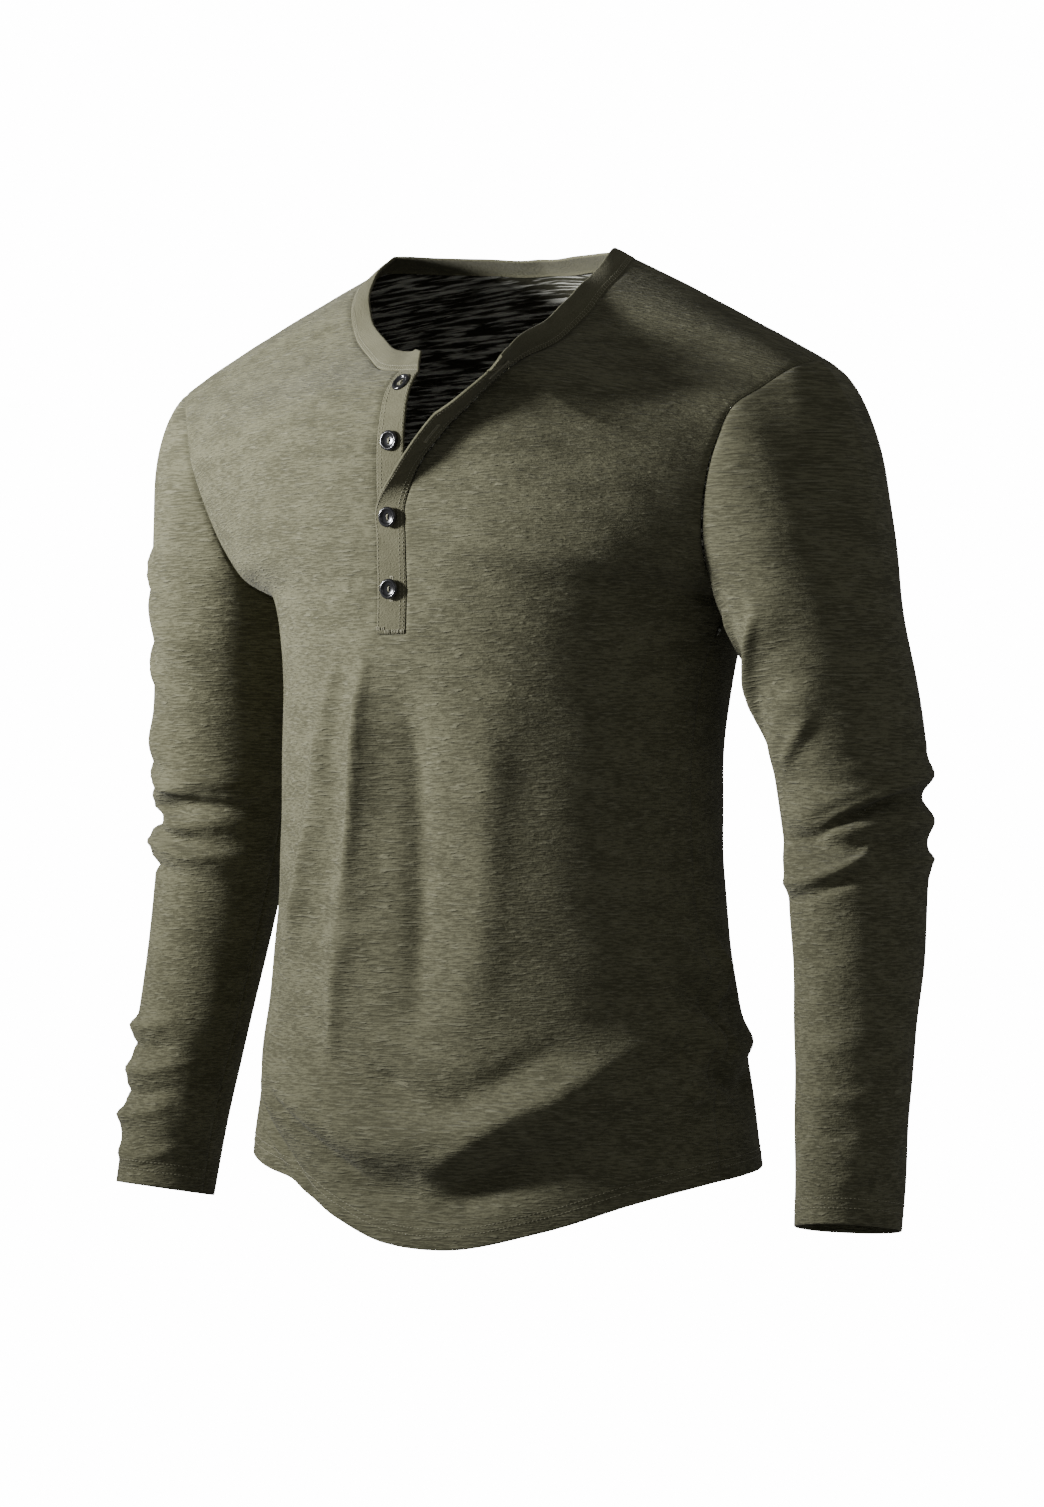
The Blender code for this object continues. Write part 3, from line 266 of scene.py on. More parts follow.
LEFT_SLEEVE_FOLDS = (
    (0.009, 0.0060, ((-0.90, -0.372), (-0.20, -0.368), (0.60, -0.382), (1.30, -0.402))),
    (0.008, -0.0055, ((-0.90, -0.384), (0.00, -0.381), (0.70, -0.394), (1.50, -0.413))),
    (0.009, 0.0060, ((-1.00, -0.402), (0.00, -0.398), (0.80, -0.404), (1.60, -0.392))),
    (0.008, -0.0050, ((-0.60, -0.413), (0.60, -0.416), (1.60, -0.404))),
    (0.009, 0.0055, ((-0.80, -0.428), (0.20, -0.424), (1.00, -0.430), (1.90, -0.418))),
    (0.009, 0.0045, ((0.20, -0.452), (1.00, -0.444), (1.80, -0.436))),
    (0.012, 0.0045, ((1.70, -0.330), (1.30, -0.290), (0.80, -0.240))),
    (0.012, 0.0035, ((1.60, -0.370), (1.10, -0.330), (0.60, -0.300))),
    (0.010, 0.0030, ((-0.30, -0.560), (0.60, -0.545), (1.40, -0.560))),
    (0.010, 0.0030, ((-0.20, -0.610), (0.60, -0.622), (1.50, -0.612))),
    (0.010, 0.0035, ((2.20, -0.390), (2.70, -0.400), (3.10, -0.388))),
    (0.010, -0.0035, ((2.10, -0.408), (2.60, -0.418), (3.00, -0.408))),
)
RIGHT_SLEEVE_FOLDS = (
    (0.014, 0.0050, ((0.10, -0.330), (0.70, -0.350), (1.30, -0.375), (1.90, -0.378))),
    (0.009, 0.0060, ((-0.30, -0.380), (0.50, -0.384), (1.20, -0.372), (1.90, -0.386))),
    (0.008, -0.0055, ((-0.30, -0.392), (0.60, -0.396), (1.30, -0.388), (1.90, -0.398))),
    (0.009, 0.0060, ((-0.40, -0.398), (0.60, -0.410), (1.40, -0.402), (2.00, -0.412))),
    (0.009, 0.0050, ((0.00, -0.428), (0.70, -0.425), (1.50, -0.432), (2.10, -0.420))),
    (0.012, 0.0040, ((0.20, -0.225), (0.70, -0.262), (1.25, -0.295))),
    (0.008, 0.0030, ((0.20, -0.560), (0.90, -0.552), (1.70, -0.566))),
    (0.008, 0.0032, ((0.30, -0.592), (1.00, -0.585), (1.70, -0.598))),
    (0.008, 0.0030, ((0.20, -0.622), (1.00, -0.618), (1.60, -0.628))),
    (0.010, 0.0035, ((2.30, -0.392), (2.80, -0.402), (3.30, -0.390))),
    (0.010, -0.0035, ((2.20, -0.410), (2.70, -0.420), (3.20, -0.410))),
)
LEFT_SLEEVE_CREASES = (
    (0.0041, 0.0055, ((1.70, -0.352), (1.45, -0.312), (1.15, -0.268), (0.98, -0.246))),
    (0.0046, 0.0038, ((1.30, -0.366), (1.05, -0.345), (0.80, -0.322))),
    (0.0046, 0.0041, ((1.85, -0.262), (1.60, -0.232), (1.38, -0.205))),
    (0.0046, 0.0035, ((1.90, -0.286), (1.62, -0.254), (1.36, -0.226))),
    (0.0046, 0.0043, ((1.95, -0.300), (1.70, -0.284), (1.48, -0.250))),
    (0.0032, 0.0058, ((-0.20, -0.368), (0.20, -0.374), (0.60, -0.388), (1.00, -0.402))),
    (0.0032, -0.0052, ((-0.10, -0.378), (0.30, -0.384), (0.70, -0.398), (1.20, -0.412), (1.70, -0.410))),
    (0.0029, 0.0049, ((0.62, -0.406), (0.50, -0.414), (0.70, -0.428), (1.10, -0.438), (1.60, -0.440))),
    (0.0032, -0.0049, ((0.40, -0.426), (0.80, -0.440), (1.20, -0.450), (1.70, -0.452))),
    (0.0037, 0.0038, ((-0.40, -0.344), (0.00, -0.354), (0.40, -0.362), (0.80, -0.362))),
    (0.0037, 0.0032, ((-0.40, -0.420), (0.00, -0.426), (0.45, -0.420))),
    (0.0046, 0.0023, ((0.20, -0.575), (0.80, -0.583), (1.50, -0.576))),
    (0.0046, -0.0023, ((0.40, -0.600), (0.90, -0.606), (1.60, -0.600))),
    (0.0046, 0.0023, ((-0.30, -0.636), (0.30, -0.630), (0.90, -0.640))),
)
RIGHT_SLEEVE_CREASES = (
    (0.0041, 0.0052, ((0.10, -0.352), (0.60, -0.370), (1.20, -0.384), (1.80, -0.386))),
    (0.0037, 0.0052, ((-0.10, -0.396), (0.40, -0.392), (0.80, -0.400), (1.20, -0.410))),
    (0.0035, -0.0052, ((-0.10, -0.404), (0.40, -0.402), (0.90, -0.414), (1.40, -0.418))),
    (0.0037, 0.0046, ((0.10, -0.420), (0.60, -0.418), (1.20, -0.428), (1.70, -0.424))),
    (0.0037, -0.0043, ((0.00, -0.434), (0.60, -0.434), (1.20, -0.444))),
    (0.0046, 0.0043, ((0.05, -0.196), (0.45, -0.222), (0.90, -0.246))),
    (0.0055, 0.0038, ((0.10, -0.260), (0.50, -0.292), (1.00, -0.316))),
    (0.0041, 0.0038, ((0.10, -0.545), (0.70, -0.552), (1.40, -0.548))),
    (0.0037, -0.0035, ((0.10, -0.560), (0.80, -0.567), (1.50, -0.562))),
    (0.0041, 0.0041, ((0.20, -0.577), (0.90, -0.584), (1.60, -0.576))),
    (0.0037, -0.0035, ((0.10, -0.594), (0.90, -0.601), (1.60, -0.592))),
    (0.0041, 0.0041, ((0.10, -0.610), (0.70, -0.616), (1.50, -0.608))),
    (0.0041, 0.0032, ((0.30, -0.638), (1.00, -0.646), (1.70, -0.636))),
)


FOLD_FADES = 0.3
FOLD_POINTS = 13


def fold_height(turn, height, folds, quarter):
    """How far the folds move the cloth out at places given in quarter turns and in height."""
    total = np.zeros(np.broadcast(turn, height).shape)
    for half_width, size, points in folds:
        knots = shares_along([(t * quarter, z) for t, z in points])
        path = smooth_curve(knots, points, np.linspace(0, 1, FOLD_POINTS))
        middle = path[:, 0].mean()
        near = middle + (turn - middle + 2) % 4 - 2
        best = np.full(total.shape, 9.0)
        share = np.zeros(total.shape)
        for k in range(len(path) - 1):
            step_x, step_z = (path[k + 1, 0] - path[k, 0]) * quarter, path[k + 1, 1] - path[k, 1]
            off_x, off_z = (near - path[k, 0]) * quarter, height - path[k, 1]
            s = np.clip((off_x * step_x + off_z * step_z) / (step_x**2 + step_z**2), 0, 1)
            distance = np.hypot(off_x - s * step_x, off_z - s * step_z)
            share = np.where(distance < best, (k + s) / (len(path) - 1), share)
            best = np.minimum(distance, best)
        fade = np.clip(np.minimum(share, 1 - share) / FOLD_FADES, 0, 1)
        total += size * np.exp(-((best / half_width) ** 2)) * fade**2 * (3 - 2 * fade)
    return total


def slack(turn, height, quarter):
    """The slight unevenness of cloth that isn't pulled tight anywhere, in whole waves round a piece."""
    z = height
    waves = [round(per_metre * quarter * 2 / np.pi) for per_metre in (31, 7, 67, 55, 83)]
    long, slow, short, cross, fine = (count * turn * np.pi / 2 for count in waves)
    swell = np.sin(long + 9 * z + 0.6) * np.sin(23 * z - slow) + 0.6 * np.sin(short - 41 * z + 2.0)
    return 0.0005 * swell + 0.0003 * np.sin(90 * z + cross + 1.0) * np.sin(fine + 0.4)


print(len(BODY_FOLDS) + len(BODY_CREASES), "folds on the body")

# %% [markdown]
# ## A way to look at the shirt
#
# The photograph was taken level with the chest, from halfway between the wearer's front and left side. A
# long lens stands for the distance. Its focal length, place and aim lay the solids on the photograph's
# outline, and the camera is made first, so that every later step can be looked at.

# %% Camera
CAMERA_TURN = math.radians(36)
CAMERA_DISTANCE = 3.9
CAMERA_AIM_ASIDE = 0.0119
CAMERA_AIM_HEIGHT = -0.353
CAMERA_LENS = 133.1
CAMERA_SENSOR = 36.0

to_right = Vector((math.cos(CAMERA_TURN), math.sin(CAMERA_TURN), 0.0))
to_camera = Vector((math.sin(CAMERA_TURN), -math.cos(CAMERA_TURN), 0.0))
aim = to_right * CAMERA_AIM_ASIDE + Vector((0.0, 0.0, CAMERA_AIM_HEIGHT))


def add_object(name, data):
    obj = bpy.data.objects.new(name, data)
    bpy.context.scene.collection.objects.link(obj)
    return obj


def add_mesh(name, points, faces, finishes, smooth=True):
    mesh = bpy.data.meshes.new(name)
    mesh.from_pydata(points, [], faces)
    if smooth:
        mesh.shade_smooth()
    for finish in finishes:
        mesh.materials.append(finish)
    return add_object(name, mesh)


def turn_towards(obj, place, target):
    obj.location = place
    obj.rotation_euler = (target - place).to_track_quat("-Z", "Y").to_euler()


camera = add_object("camera", bpy.data.cameras.new("camera"))
camera.data.sensor_fit = "VERTICAL"
camera.data.sensor_height = CAMERA_SENSOR
camera.data.lens = CAMERA_LENS
turn_towards(camera, aim + to_camera * CAMERA_DISTANCE, aim)
bpy.context.scene.camera = camera
print("camera at", [round(c, 3) for c in camera.location])

# %% [markdown]
# ## The front
#
# The front is one piece of jersey with a slot cut down its middle for the placket. Its grid has rows
# from the hem to the shoulder and columns from side seam to side seam. Above the slot each half is laid
# between its armhole and its own inner edge: up the slot first and then along the neckline. The
# wearer's left half falls open, so its edge is lifted off the chest and the lift dies away over a
# few centimetres of cloth. Rows and columns crowd together at the seams, because a seam is only a
# few millimetres wide.

# %% Inner edges of the front
PLACKET_WIDTH = 0.023
PLACKET_BOTTOM = -0.272
PLACKET_ROWS = 8
NECK_ROWS = 7
TOP_ROW = PLACKET_ROWS + NECK_ROWS
FLAP_REACH = 0.055
# x, z, lift
RIGHT_NECKLINE = (
    (-0.0115, -0.0905, 0.0), (-0.034, -0.0875, 0.0), (-0.057, -0.0780, 0.0), (-0.088, -0.0585, 0.0),
    (-0.104, -0.0364, 0.0), (-0.111, -0.0236, 0.0), (-0.105, -0.0090, 0.0),
)
LEFT_NECKLINE = (
    (0.0958, -0.1103, 0.026), (0.1065, -0.0954, 0.019), (0.1125, -0.0691, 0.012),
    (0.1176, -0.0408, 0.005), (0.1165, -0.0232, 0.001), (0.1120, -0.0119, 0.0),
)
# The stand's seam is at stand_z. The columns are stand_z, seam_x, seam_z, seam_lift, edge_x, edge_z,
# edge_lift, stand_edge_x, stand_edge_z and stand_edge_lift.
PLACKETS = (
    (-0.272, 0.0115, -0.272, 0.0000, -0.0115, -0.272, 0.0018, 0.0112, -0.272, -0.0018),
    (-0.250, 0.0115, -0.250, 0.0000, -0.0115, -0.250, 0.0018, 0.0112, -0.250, -0.0018),
    (-0.228, 0.0115, -0.228, 0.0000, -0.0115, -0.228, 0.0018, 0.0112, -0.228, -0.0018),
    (-0.206, 0.0115, -0.206, 0.0000, -0.0115, -0.206, 0.0018, 0.0112, -0.206, -0.0018),
    (-0.184, 0.0118, -0.184, 0.0000, -0.0110, -0.184, 0.0020, 0.0112, -0.184, -0.0018),
    (-0.160, 0.0271, -0.1582, 0.0040, 0.0159, -0.1610, 0.0160, 0.0112, -0.160, -0.0014),
    (-0.135, 0.0506, -0.1377, 0.0110, 0.0466, -0.1382, 0.0300, 0.0111, -0.1353, -0.0004),
    (-0.112, 0.0754, -0.1200, 0.0180, 0.0737, -0.1251, 0.0400, 0.0106, -0.1132, 0.0012),
    (-0.0905, 0.0958, -0.1103, 0.0260, 0.0940, -0.1169, 0.0440, 0.0098, -0.0938, 0.0028),
)


def folded_panel(panel, across, up):
    """The panel with its hem line, folds, creases and slack."""
    points = smooth_panel(panel, across, up)
    across = np.broadcast_to(across, points.shape[:-1])
    turn = across if panel is FRONT else 2 - across
    hem = np.array(HEM_LINE)
    hem_height = smooth_curve(hem[:, 0], hem[:, 1:], (turn + 2) % 4 - 2)[..., 0]
    near_hem = np.clip(1 - np.broadcast_to(up, turn.shape) / HEM_LINE_REACH, 0, 1) ** 2
    points[..., 2] += (hem_height - LOWER_BODY[0][2]) * near_hem
    angle = np.radians(90 * turn)
    outward = np.stack([np.sin(angle), -np.cos(angle), np.zeros(angle.shape)], axis=-1)
    height = fold_height(turn, points[..., 2], BODY_FOLDS + BODY_CREASES, GIRTH_QUARTER)
    return points + outward * (height + slack(turn, points[..., 2], GIRTH_QUARTER))[..., None]


CHEST_HALF = 0.2
CHEST_UP = 1.3
NEWTON_STEPS = 40
LONGEST_STEP = 0.2


def find_on_front(x, z):
    """across and up of the place on the front that has this x and z, found by Newton's method."""
    x, z = np.broadcast_arrays(np.asarray(x, float), np.asarray(z, float))
    across = x / CHEST_HALF
    up = np.full(x.shape, CHEST_UP)
    step = 1e-4
    for _ in range(NEWTON_STEPS):
        here = smooth_panel(FRONT, across, up)
        by_across = (smooth_panel(FRONT, across + step, up) - here) / step
        by_up = (smooth_panel(FRONT, across, up + step) - here) / step
        miss_x, miss_z = x - here[..., 0], z - here[..., 2]
        det = by_across[..., 0] * by_up[..., 2] - by_across[..., 2] * by_up[..., 0]
        go_across = (miss_x * by_up[..., 2] - miss_z * by_up[..., 0]) / det
        go_up = (miss_z * by_across[..., 0] - miss_x * by_across[..., 2]) / det
        across = across + np.clip(go_across, -LONGEST_STEP, LONGEST_STEP)
        up = up + np.clip(go_up, -LONGEST_STEP, LONGEST_STEP)
        across, up = np.clip(across, -0.98, 0.98), np.clip(up, 0.5, 2.0)
    return across, up


def front_edges(rows):
    """x, z and lift of the front's right and left inner edges, at rows counted up from the slot."""
    slot = smooth_curve(np.arange(PLACKET_ROWS + 1), PLACKETS, np.minimum(rows, PLACKET_ROWS))
    stand = np.stack([np.full(len(rows), -PLACKET_WIDTH / 2), slot[:, 0], np.zeros(len(rows))], axis=1)
    share = np.clip((rows - PLACKET_ROWS) / NECK_ROWS, 0, 1)
    edges = []
    for lower, table in ((stand, RIGHT_NECKLINE), (slot[:, 1:4], LEFT_NECKLINE)):
        neckline = smooth_curve(shares_along(np.array(table)[:, :2]), table, share)
        edges.append(np.where(rows[:, None] > PLACKET_ROWS, neckline, lower))
    return edges


slot_up = float(find_on_front(PLACKET_WIDTH / 2, PLACKET_BOTTOM)[1])
print("the slot ends at", round(slot_up, 3), "of the way from the hem to the armpit")

# %% Rows and columns of the front
UPPER_ROWS = 90
LOWER_ROWS = 112
BACK_ROWS = 70
HALF_COLUMNS = 82
SLOT_COLUMNS = 9
EASED_ROWS = 2
SEAM_STEPS = np.array([0.0, 0.0035, 0.008, 0.014])
HEM_STEPS = np.array([0.0, 0.3, 0.8, 1.6, 3.0, 5.0, 7.0, 8.5, 10.0, 12.0, 13.5, 15.0, 18.0]) / 1000
LOWER_LENGTH = 0.39
HEM_ENDS = 0.056


def crowded(count, first=True):
    """Shares from 0 to 1 that crowd together at the last end, and at the first one too if asked."""
    middle = np.linspace(0.024 if first else 0.0, 0.976, count)
    return np.concatenate([SEAM_STEPS if first else [], middle, 1 - SEAM_STEPS[::-1]])


upper_rows = np.unique(np.append(crowded(UPPER_ROWS, first=False) * TOP_ROW, PLACKET_ROWS).round(6))
upper_ups = np.interp(upper_rows, [0, 1, TOP_ROW], [slot_up, 1, 2])
lower_ups = np.concatenate([HEM_STEPS / LOWER_LENGTH, np.linspace(HEM_ENDS, slot_up, LOWER_ROWS)])
half_shares = crowded(HALF_COLUMNS)
slot_across = abs(float(find_on_front(-PLACKET_WIDTH / 2, PLACKET_BOTTOM)[0]))
half_columns = -1 + (1 - slot_across) * half_shares
slot_columns = np.linspace(-slot_across, slot_across, SLOT_COLUMNS)[1:-1]
columns = np.concatenate([half_columns, slot_columns, -half_columns[::-1]])
SLOT_ROW = len(lower_ups) - 1
RIGHT = len(half_columns) - 1
LEFT = len(columns) - len(half_columns)
RIGHT_HALF, LEFT_HALF = slice(0, RIGHT + 1), slice(LEFT, None)
print("front grid:", SLOT_ROW + len(upper_rows), "rows of", len(columns))

# %% The front's grid
def upper_half(edge, side):
    """One side of the front above the slot, from the armhole to the inner edge."""
    across_edge, up_edge = find_on_front(edge[:, 0], edge[:, 1])
    up_edge += (2.0 - up_edge[-1]) * np.clip(upper_rows - TOP_ROW + EASED_ROWS, 0, EASED_ROWS) / EASED_ROWS
    across = side + (across_edge[:, None] - side) * half_shares
    up = upper_ups[:, None] + (up_edge - upper_ups)[:, None] * half_shares
    points = folded_panel(FRONT, across, up)
    outward = grid_normals(points) * -side
    away = np.linalg.norm(points - points[:, -1:], axis=-1)
    lift = edge[:, 2][:, None] * np.exp(-((away / FLAP_REACH) ** 2))
    return points + outward * lift[..., None], across, up


def lay_front():
    """Points, and across and up of each, for the whole front."""
    right_edge, left_edge = front_edges(upper_rows)
    across = np.repeat(columns[None, :], SLOT_ROW + len(upper_rows), axis=0)
    up = np.concatenate([lower_ups[:, None], upper_ups[1:, None]]) * np.ones(len(columns))
    points = np.zeros(across.shape + (3,))
    below, above = slice(0, SLOT_ROW + 1), slice(SLOT_ROW + 1, None)
    points[below] = folded_panel(FRONT, across[below], up[below])
    for edge, side, part in ((right_edge, -1, RIGHT_HALF), (left_edge, 1, LEFT_HALF)):
        flip = slice(None, None, -side)
        half, half_across, half_up = upper_half(edge, side)
        points[above, part] = half[1:, flip]
        across[above, part] = half_across[1:, flip]
        up[above, part] = half_up[1:, flip]
    return points, across, up


front_points, front_across, front_up = lay_front()
print("front hem reaches", front_points[0].min(axis=0).round(3), front_points[0].max(axis=0).round(3))

# %% [markdown]
# ## The back, the sleeves and the seams between them
#
# The back has the same side seams and shoulder lines, so its edges are copied from the front's and
# nothing can gape. Each sleeve is a flat piece that is sewn into a tube under the arm. Its first ring
# is the armhole itself, and its cap curves from there into the upper arm. The elbows are bent a
# little, and below them the sleeve hangs nearly straight.

# %% The back's grid
BACK_NECK_DROPS = (0.0, 0.020, 0.062, 0.104, 0.142, 0.108, 0.070, 0.037, 0.0)
BACK_NECK_COLUMNS = 60


def lay_back():
    right, left = front_across[-1, RIGHT_HALF], front_across[-1, LEFT_HALF]
    swing = np.sin(np.radians(np.linspace(-90, 90, BACK_NECK_COLUMNS + 1)))
    neck = swing * np.where(swing < 0, -right[-1], left[0])
    back_columns = np.concatenate([right[:-1], neck, left[1:]])
    tops = np.full(len(back_columns), 2.0)
    drops = np.array(BACK_NECK_DROPS)[:, None]
    along_neck = np.linspace(0, len(drops) - 1, len(neck))
    tops[RIGHT : RIGHT + len(neck)] -= smooth_curve(np.arange(len(drops)), drops, along_neck)[:, 0]
    rise = crowded(BACK_ROWS, first=False)[1:, None]
    lower = np.concatenate([lower_ups, upper_ups[(upper_ups > slot_up) & (upper_ups <= 1.0)]])
    ups = np.concatenate([lower[:, None] * np.ones(len(back_columns)), 1 + (tops - 1) * rise])
    points = folded_panel(BACK, back_columns[None, :], ups)
    armpit = len(lower)
    for column in (0, -1):
        points[:armpit, column] = front_points[:armpit, column]
    points[-1, RIGHT_HALF] = front_points[-1, RIGHT_HALF]
    points[-1, -RIGHT - 1 :] = front_points[-1, LEFT_HALF]
    return points, np.broadcast_to(back_columns, ups.shape), ups, armpit - 1


back_points, back_across, back_up, ARMPIT_ROW = lay_back()
print("back grid:", back_points.shape[:2], "armpit at row", ARMPIT_ROW)

# %% The sleeves' grids
# middle_x, middle_y, middle_z, half_width, half_depth
SLEEVE = (
    (0.2600, 0.016, -0.290, 0.0535, 0.058),
    (0.2680, 0.023, -0.340, 0.0530, 0.055),
    (0.2710, 0.029, -0.390, 0.0490, 0.052),
    (0.2790, 0.022, -0.460, 0.0455, 0.047),
    (0.2855, 0.008, -0.540, 0.0405, 0.042),
    (0.2920, -0.008, -0.620, 0.0370, 0.039),
    (0.2950, -0.016, -0.670, 0.0355, 0.0375),
)
LOOK_AHEAD = 0.004
CAP_FULLNESS = 0.80
CAP_LEAN = 0.55
CAP_LEAN_UNDER_ARM = 0.40
CAP_ROWS = 46
# How much of the folds the cap shows, at sevenths of its length
CAP_FOLDS = (0.0, 0.3, 0.7, 1.0)
TUBE_ROWS = 120
TUBE_TOP = -0.2925
CUFF_HEIGHT = -0.670
CUFF_ENDS = 0.0205
ARMHOLE_EASING = 8


def armhole(side):
    """The armhole from the shoulder over the front to the armpit, and up the back: points, way out."""
    column = 0 if side < 0 else -1
    first = nearest(front_up[:, column], 1.0)
    over_front = front_points[first:, column][::-1]
    ring = np.concatenate([over_front, back_points[ARMPIT_ROW + 1 : -1, column]])
    tangents = unit(np.roll(ring, -1, axis=0) - np.roll(ring, 1, axis=0))
    inward = square_to(tangents, ring.mean(axis=0) - ring, ring.mean(axis=0) - ring)
    outward = unit(np.cross(tangents, inward))
    outward *= np.sign(outward[:, :1]) * side
    for _ in range(ARMHOLE_EASING):
        outward = unit(np.roll(outward, 1, axis=0) + 2 * outward + np.roll(outward, -1, axis=0))
    return ring, outward, len(over_front)


def sleeve_ring(table, height, angles, side):
    """Points of the sleeve's ring at this height, and the direction of the sleeve there."""
    row = smooth_curve(table[:, 2], table, height)
    ahead = smooth_curve(table[:, 2], table, height + LOOK_AHEAD)
    mirror = np.array([side, 1.0, 1.0])
    down = unit((row[:3] - ahead[:3]) * mirror)
    lateral = unit(np.array([side, 0.0, 0.0]) - down * down[0] * side)
    fore = unit(np.cross(down, lateral)) * side
    fore *= -np.sign(fore[1])
    around = np.cos(angles)[:, None] * lateral * row[3] + np.sin(angles)[:, None] * fore * row[4]
    return row[:3] * mirror + around, down


def lay_sleeve(side, folds):
    """The sleeve as an open grid whose two long edges meet under the arm, and its places for the yarn."""
    ring, outward, front_count = armhole(side)
    over_front = np.pi * shares_along(ring[:front_count])
    under_back = np.pi + np.pi * shares_along(np.concatenate([ring[front_count - 1 :], ring[:1]]))
    angles = np.concatenate([over_front, under_back[1:-1]])
    table = np.array(SLEEVE)[::-1]
    upper, down = sleeve_ring(table, SLEEVE[0][2], angles, side)
    reach = np.linalg.norm(upper - ring, axis=1, keepdims=True)
    lean = (CAP_LEAN - CAP_LEAN_UNDER_ARM * np.cos(angles))[:, None]
    start = unit(outward * (1 - lean) + down * lean) * reach * CAP_FULLNESS
    end = down * reach * CAP_FULLNESS
    t = crowded(CAP_ROWS)[:-3][:, None, None]
    cap = hermite(ring, start, upper, end, t)
    heights = np.linspace(TUBE_TOP, CUFF_HEIGHT + CUFF_ENDS, TUBE_ROWS)
    heights = np.concatenate([heights, CUFF_HEIGHT + HEM_STEPS[::-1]])
    tube = np.array([sleeve_ring(table, height, angles, side)[0] for height in heights])
    points = np.concatenate([cap, tube])
    quarter = SLEEVE[2][3] * np.pi / 2
    turn = np.broadcast_to(angles / (np.pi / 2), points.shape[:2])
    fade = np.interp(t[:, 0, 0] * 7, np.arange(len(CAP_FOLDS)), CAP_FOLDS)
    fade = np.append(fade, np.ones(len(heights)))
    yarn_v = points[..., 2]
    size = (fold_height(turn, yarn_v, folds, quarter) + slack(turn, yarn_v, quarter)) * fade[:, None]
    points = points + grid_normals(points, closed=True) * side * size[..., None]
    seam = front_count - 1
    order = np.concatenate([np.arange(seam, len(angles)), np.arange(seam + 1)])
    around = np.concatenate([angles[seam:] - 2 * np.pi, angles[: seam + 1]])
    yarn_u = np.broadcast_to(around / (np.pi / 2) * quarter, (len(points), len(order)))
    return points[:, order], np.stack([yarn_u, yarn_v[:, order]], axis=-1)


left_sleeve = lay_sleeve(1, LEFT_SLEEVE_FOLDS + LEFT_SLEEVE_CREASES)
right_sleeve = lay_sleeve(-1, RIGHT_SLEEVE_FOLDS + RIGHT_SLEEVE_CREASES)
print("sleeve grid:", left_sleeve[0].shape[:2])

# %% [markdown]
# ## From a grid to a piece of cloth
#
# A single surface has no edge to look at, so each grid becomes two layers a cloth's thickness apart,
# joined round the rim. Blender's Solidify modifier could do this. Here it is done by hand, because
# the thickness changes (a hem is two layers), because a folded edge is round, and because cloth dips
# towards a seam, where the allowance behind it pulls it in.

# %% Cloth as two layers
JERSEY = 0.0010
HEM = 0.0020
HEM_DEPTH = 0.0155
CUFF_DEPTH = 0.0185
SEAM_DIP = 0.0007
SHOULDER_DIP = 0.0006
SLOT_DIP = 0.0009
ARMHOLE_DIP = 0.0010
SEAM_REACH = 0.0020
ARMHOLE_REACH = 0.0022
HEM_STEP = 0.0015
EDGE_TURN = 0.97


class Cloth:
    """A grid of points on the outside of one piece, seen from outside, with its rows running up."""

    def __init__(self, node, points, yarn, outward):
        self.node = node
        self.points = points
        self.yarn = yarn
        self.outward = outward
        self.thickness = np.full(points.shape[:2], JERSEY)
        self.present = np.ones((points.shape[0] - 1, points.shape[1] - 1), bool)
        self.turned_up = np.zeros(self.present.shape, bool)
        self.edge = np.full(points.shape[:2], 1.0)

    def move(self, amount):
        self.points = self.points + self.outward * amount[..., None]

    def dip(self, distance, depth=SEAM_DIP, reach=SEAM_REACH):
        """Pulls the cloth in near a seam."""
        self.move(-depth * np.exp(-((distance / reach) ** 2)))

    def free_edge(self, distance):
        """Marks a folded edge, which is rounded over when the piece is made."""
        self.edge = np.minimum(self.edge, distance)

    def turn_up(self, distance, depth):
        """Folds a hem of this depth to the inside, where it then shows the face of the cloth."""
        self.free_edge(distance)
        self.thickness += (HEM - JERSEY) * np.clip((depth - distance) / HEM_STEP, 0, 1)
        self.turned_up = (distance < depth)[1:, 1:]


def from_bottom(points):
    return lengths_along(points)


def from_top(points):
    return lengths_along(points[::-1])[::-1]


def from_first(points):
    return lengths_along(np.swapaxes(points, 0, 1)).T


def from_last(points):
    return from_first(points[:, ::-1])[:, ::-1]


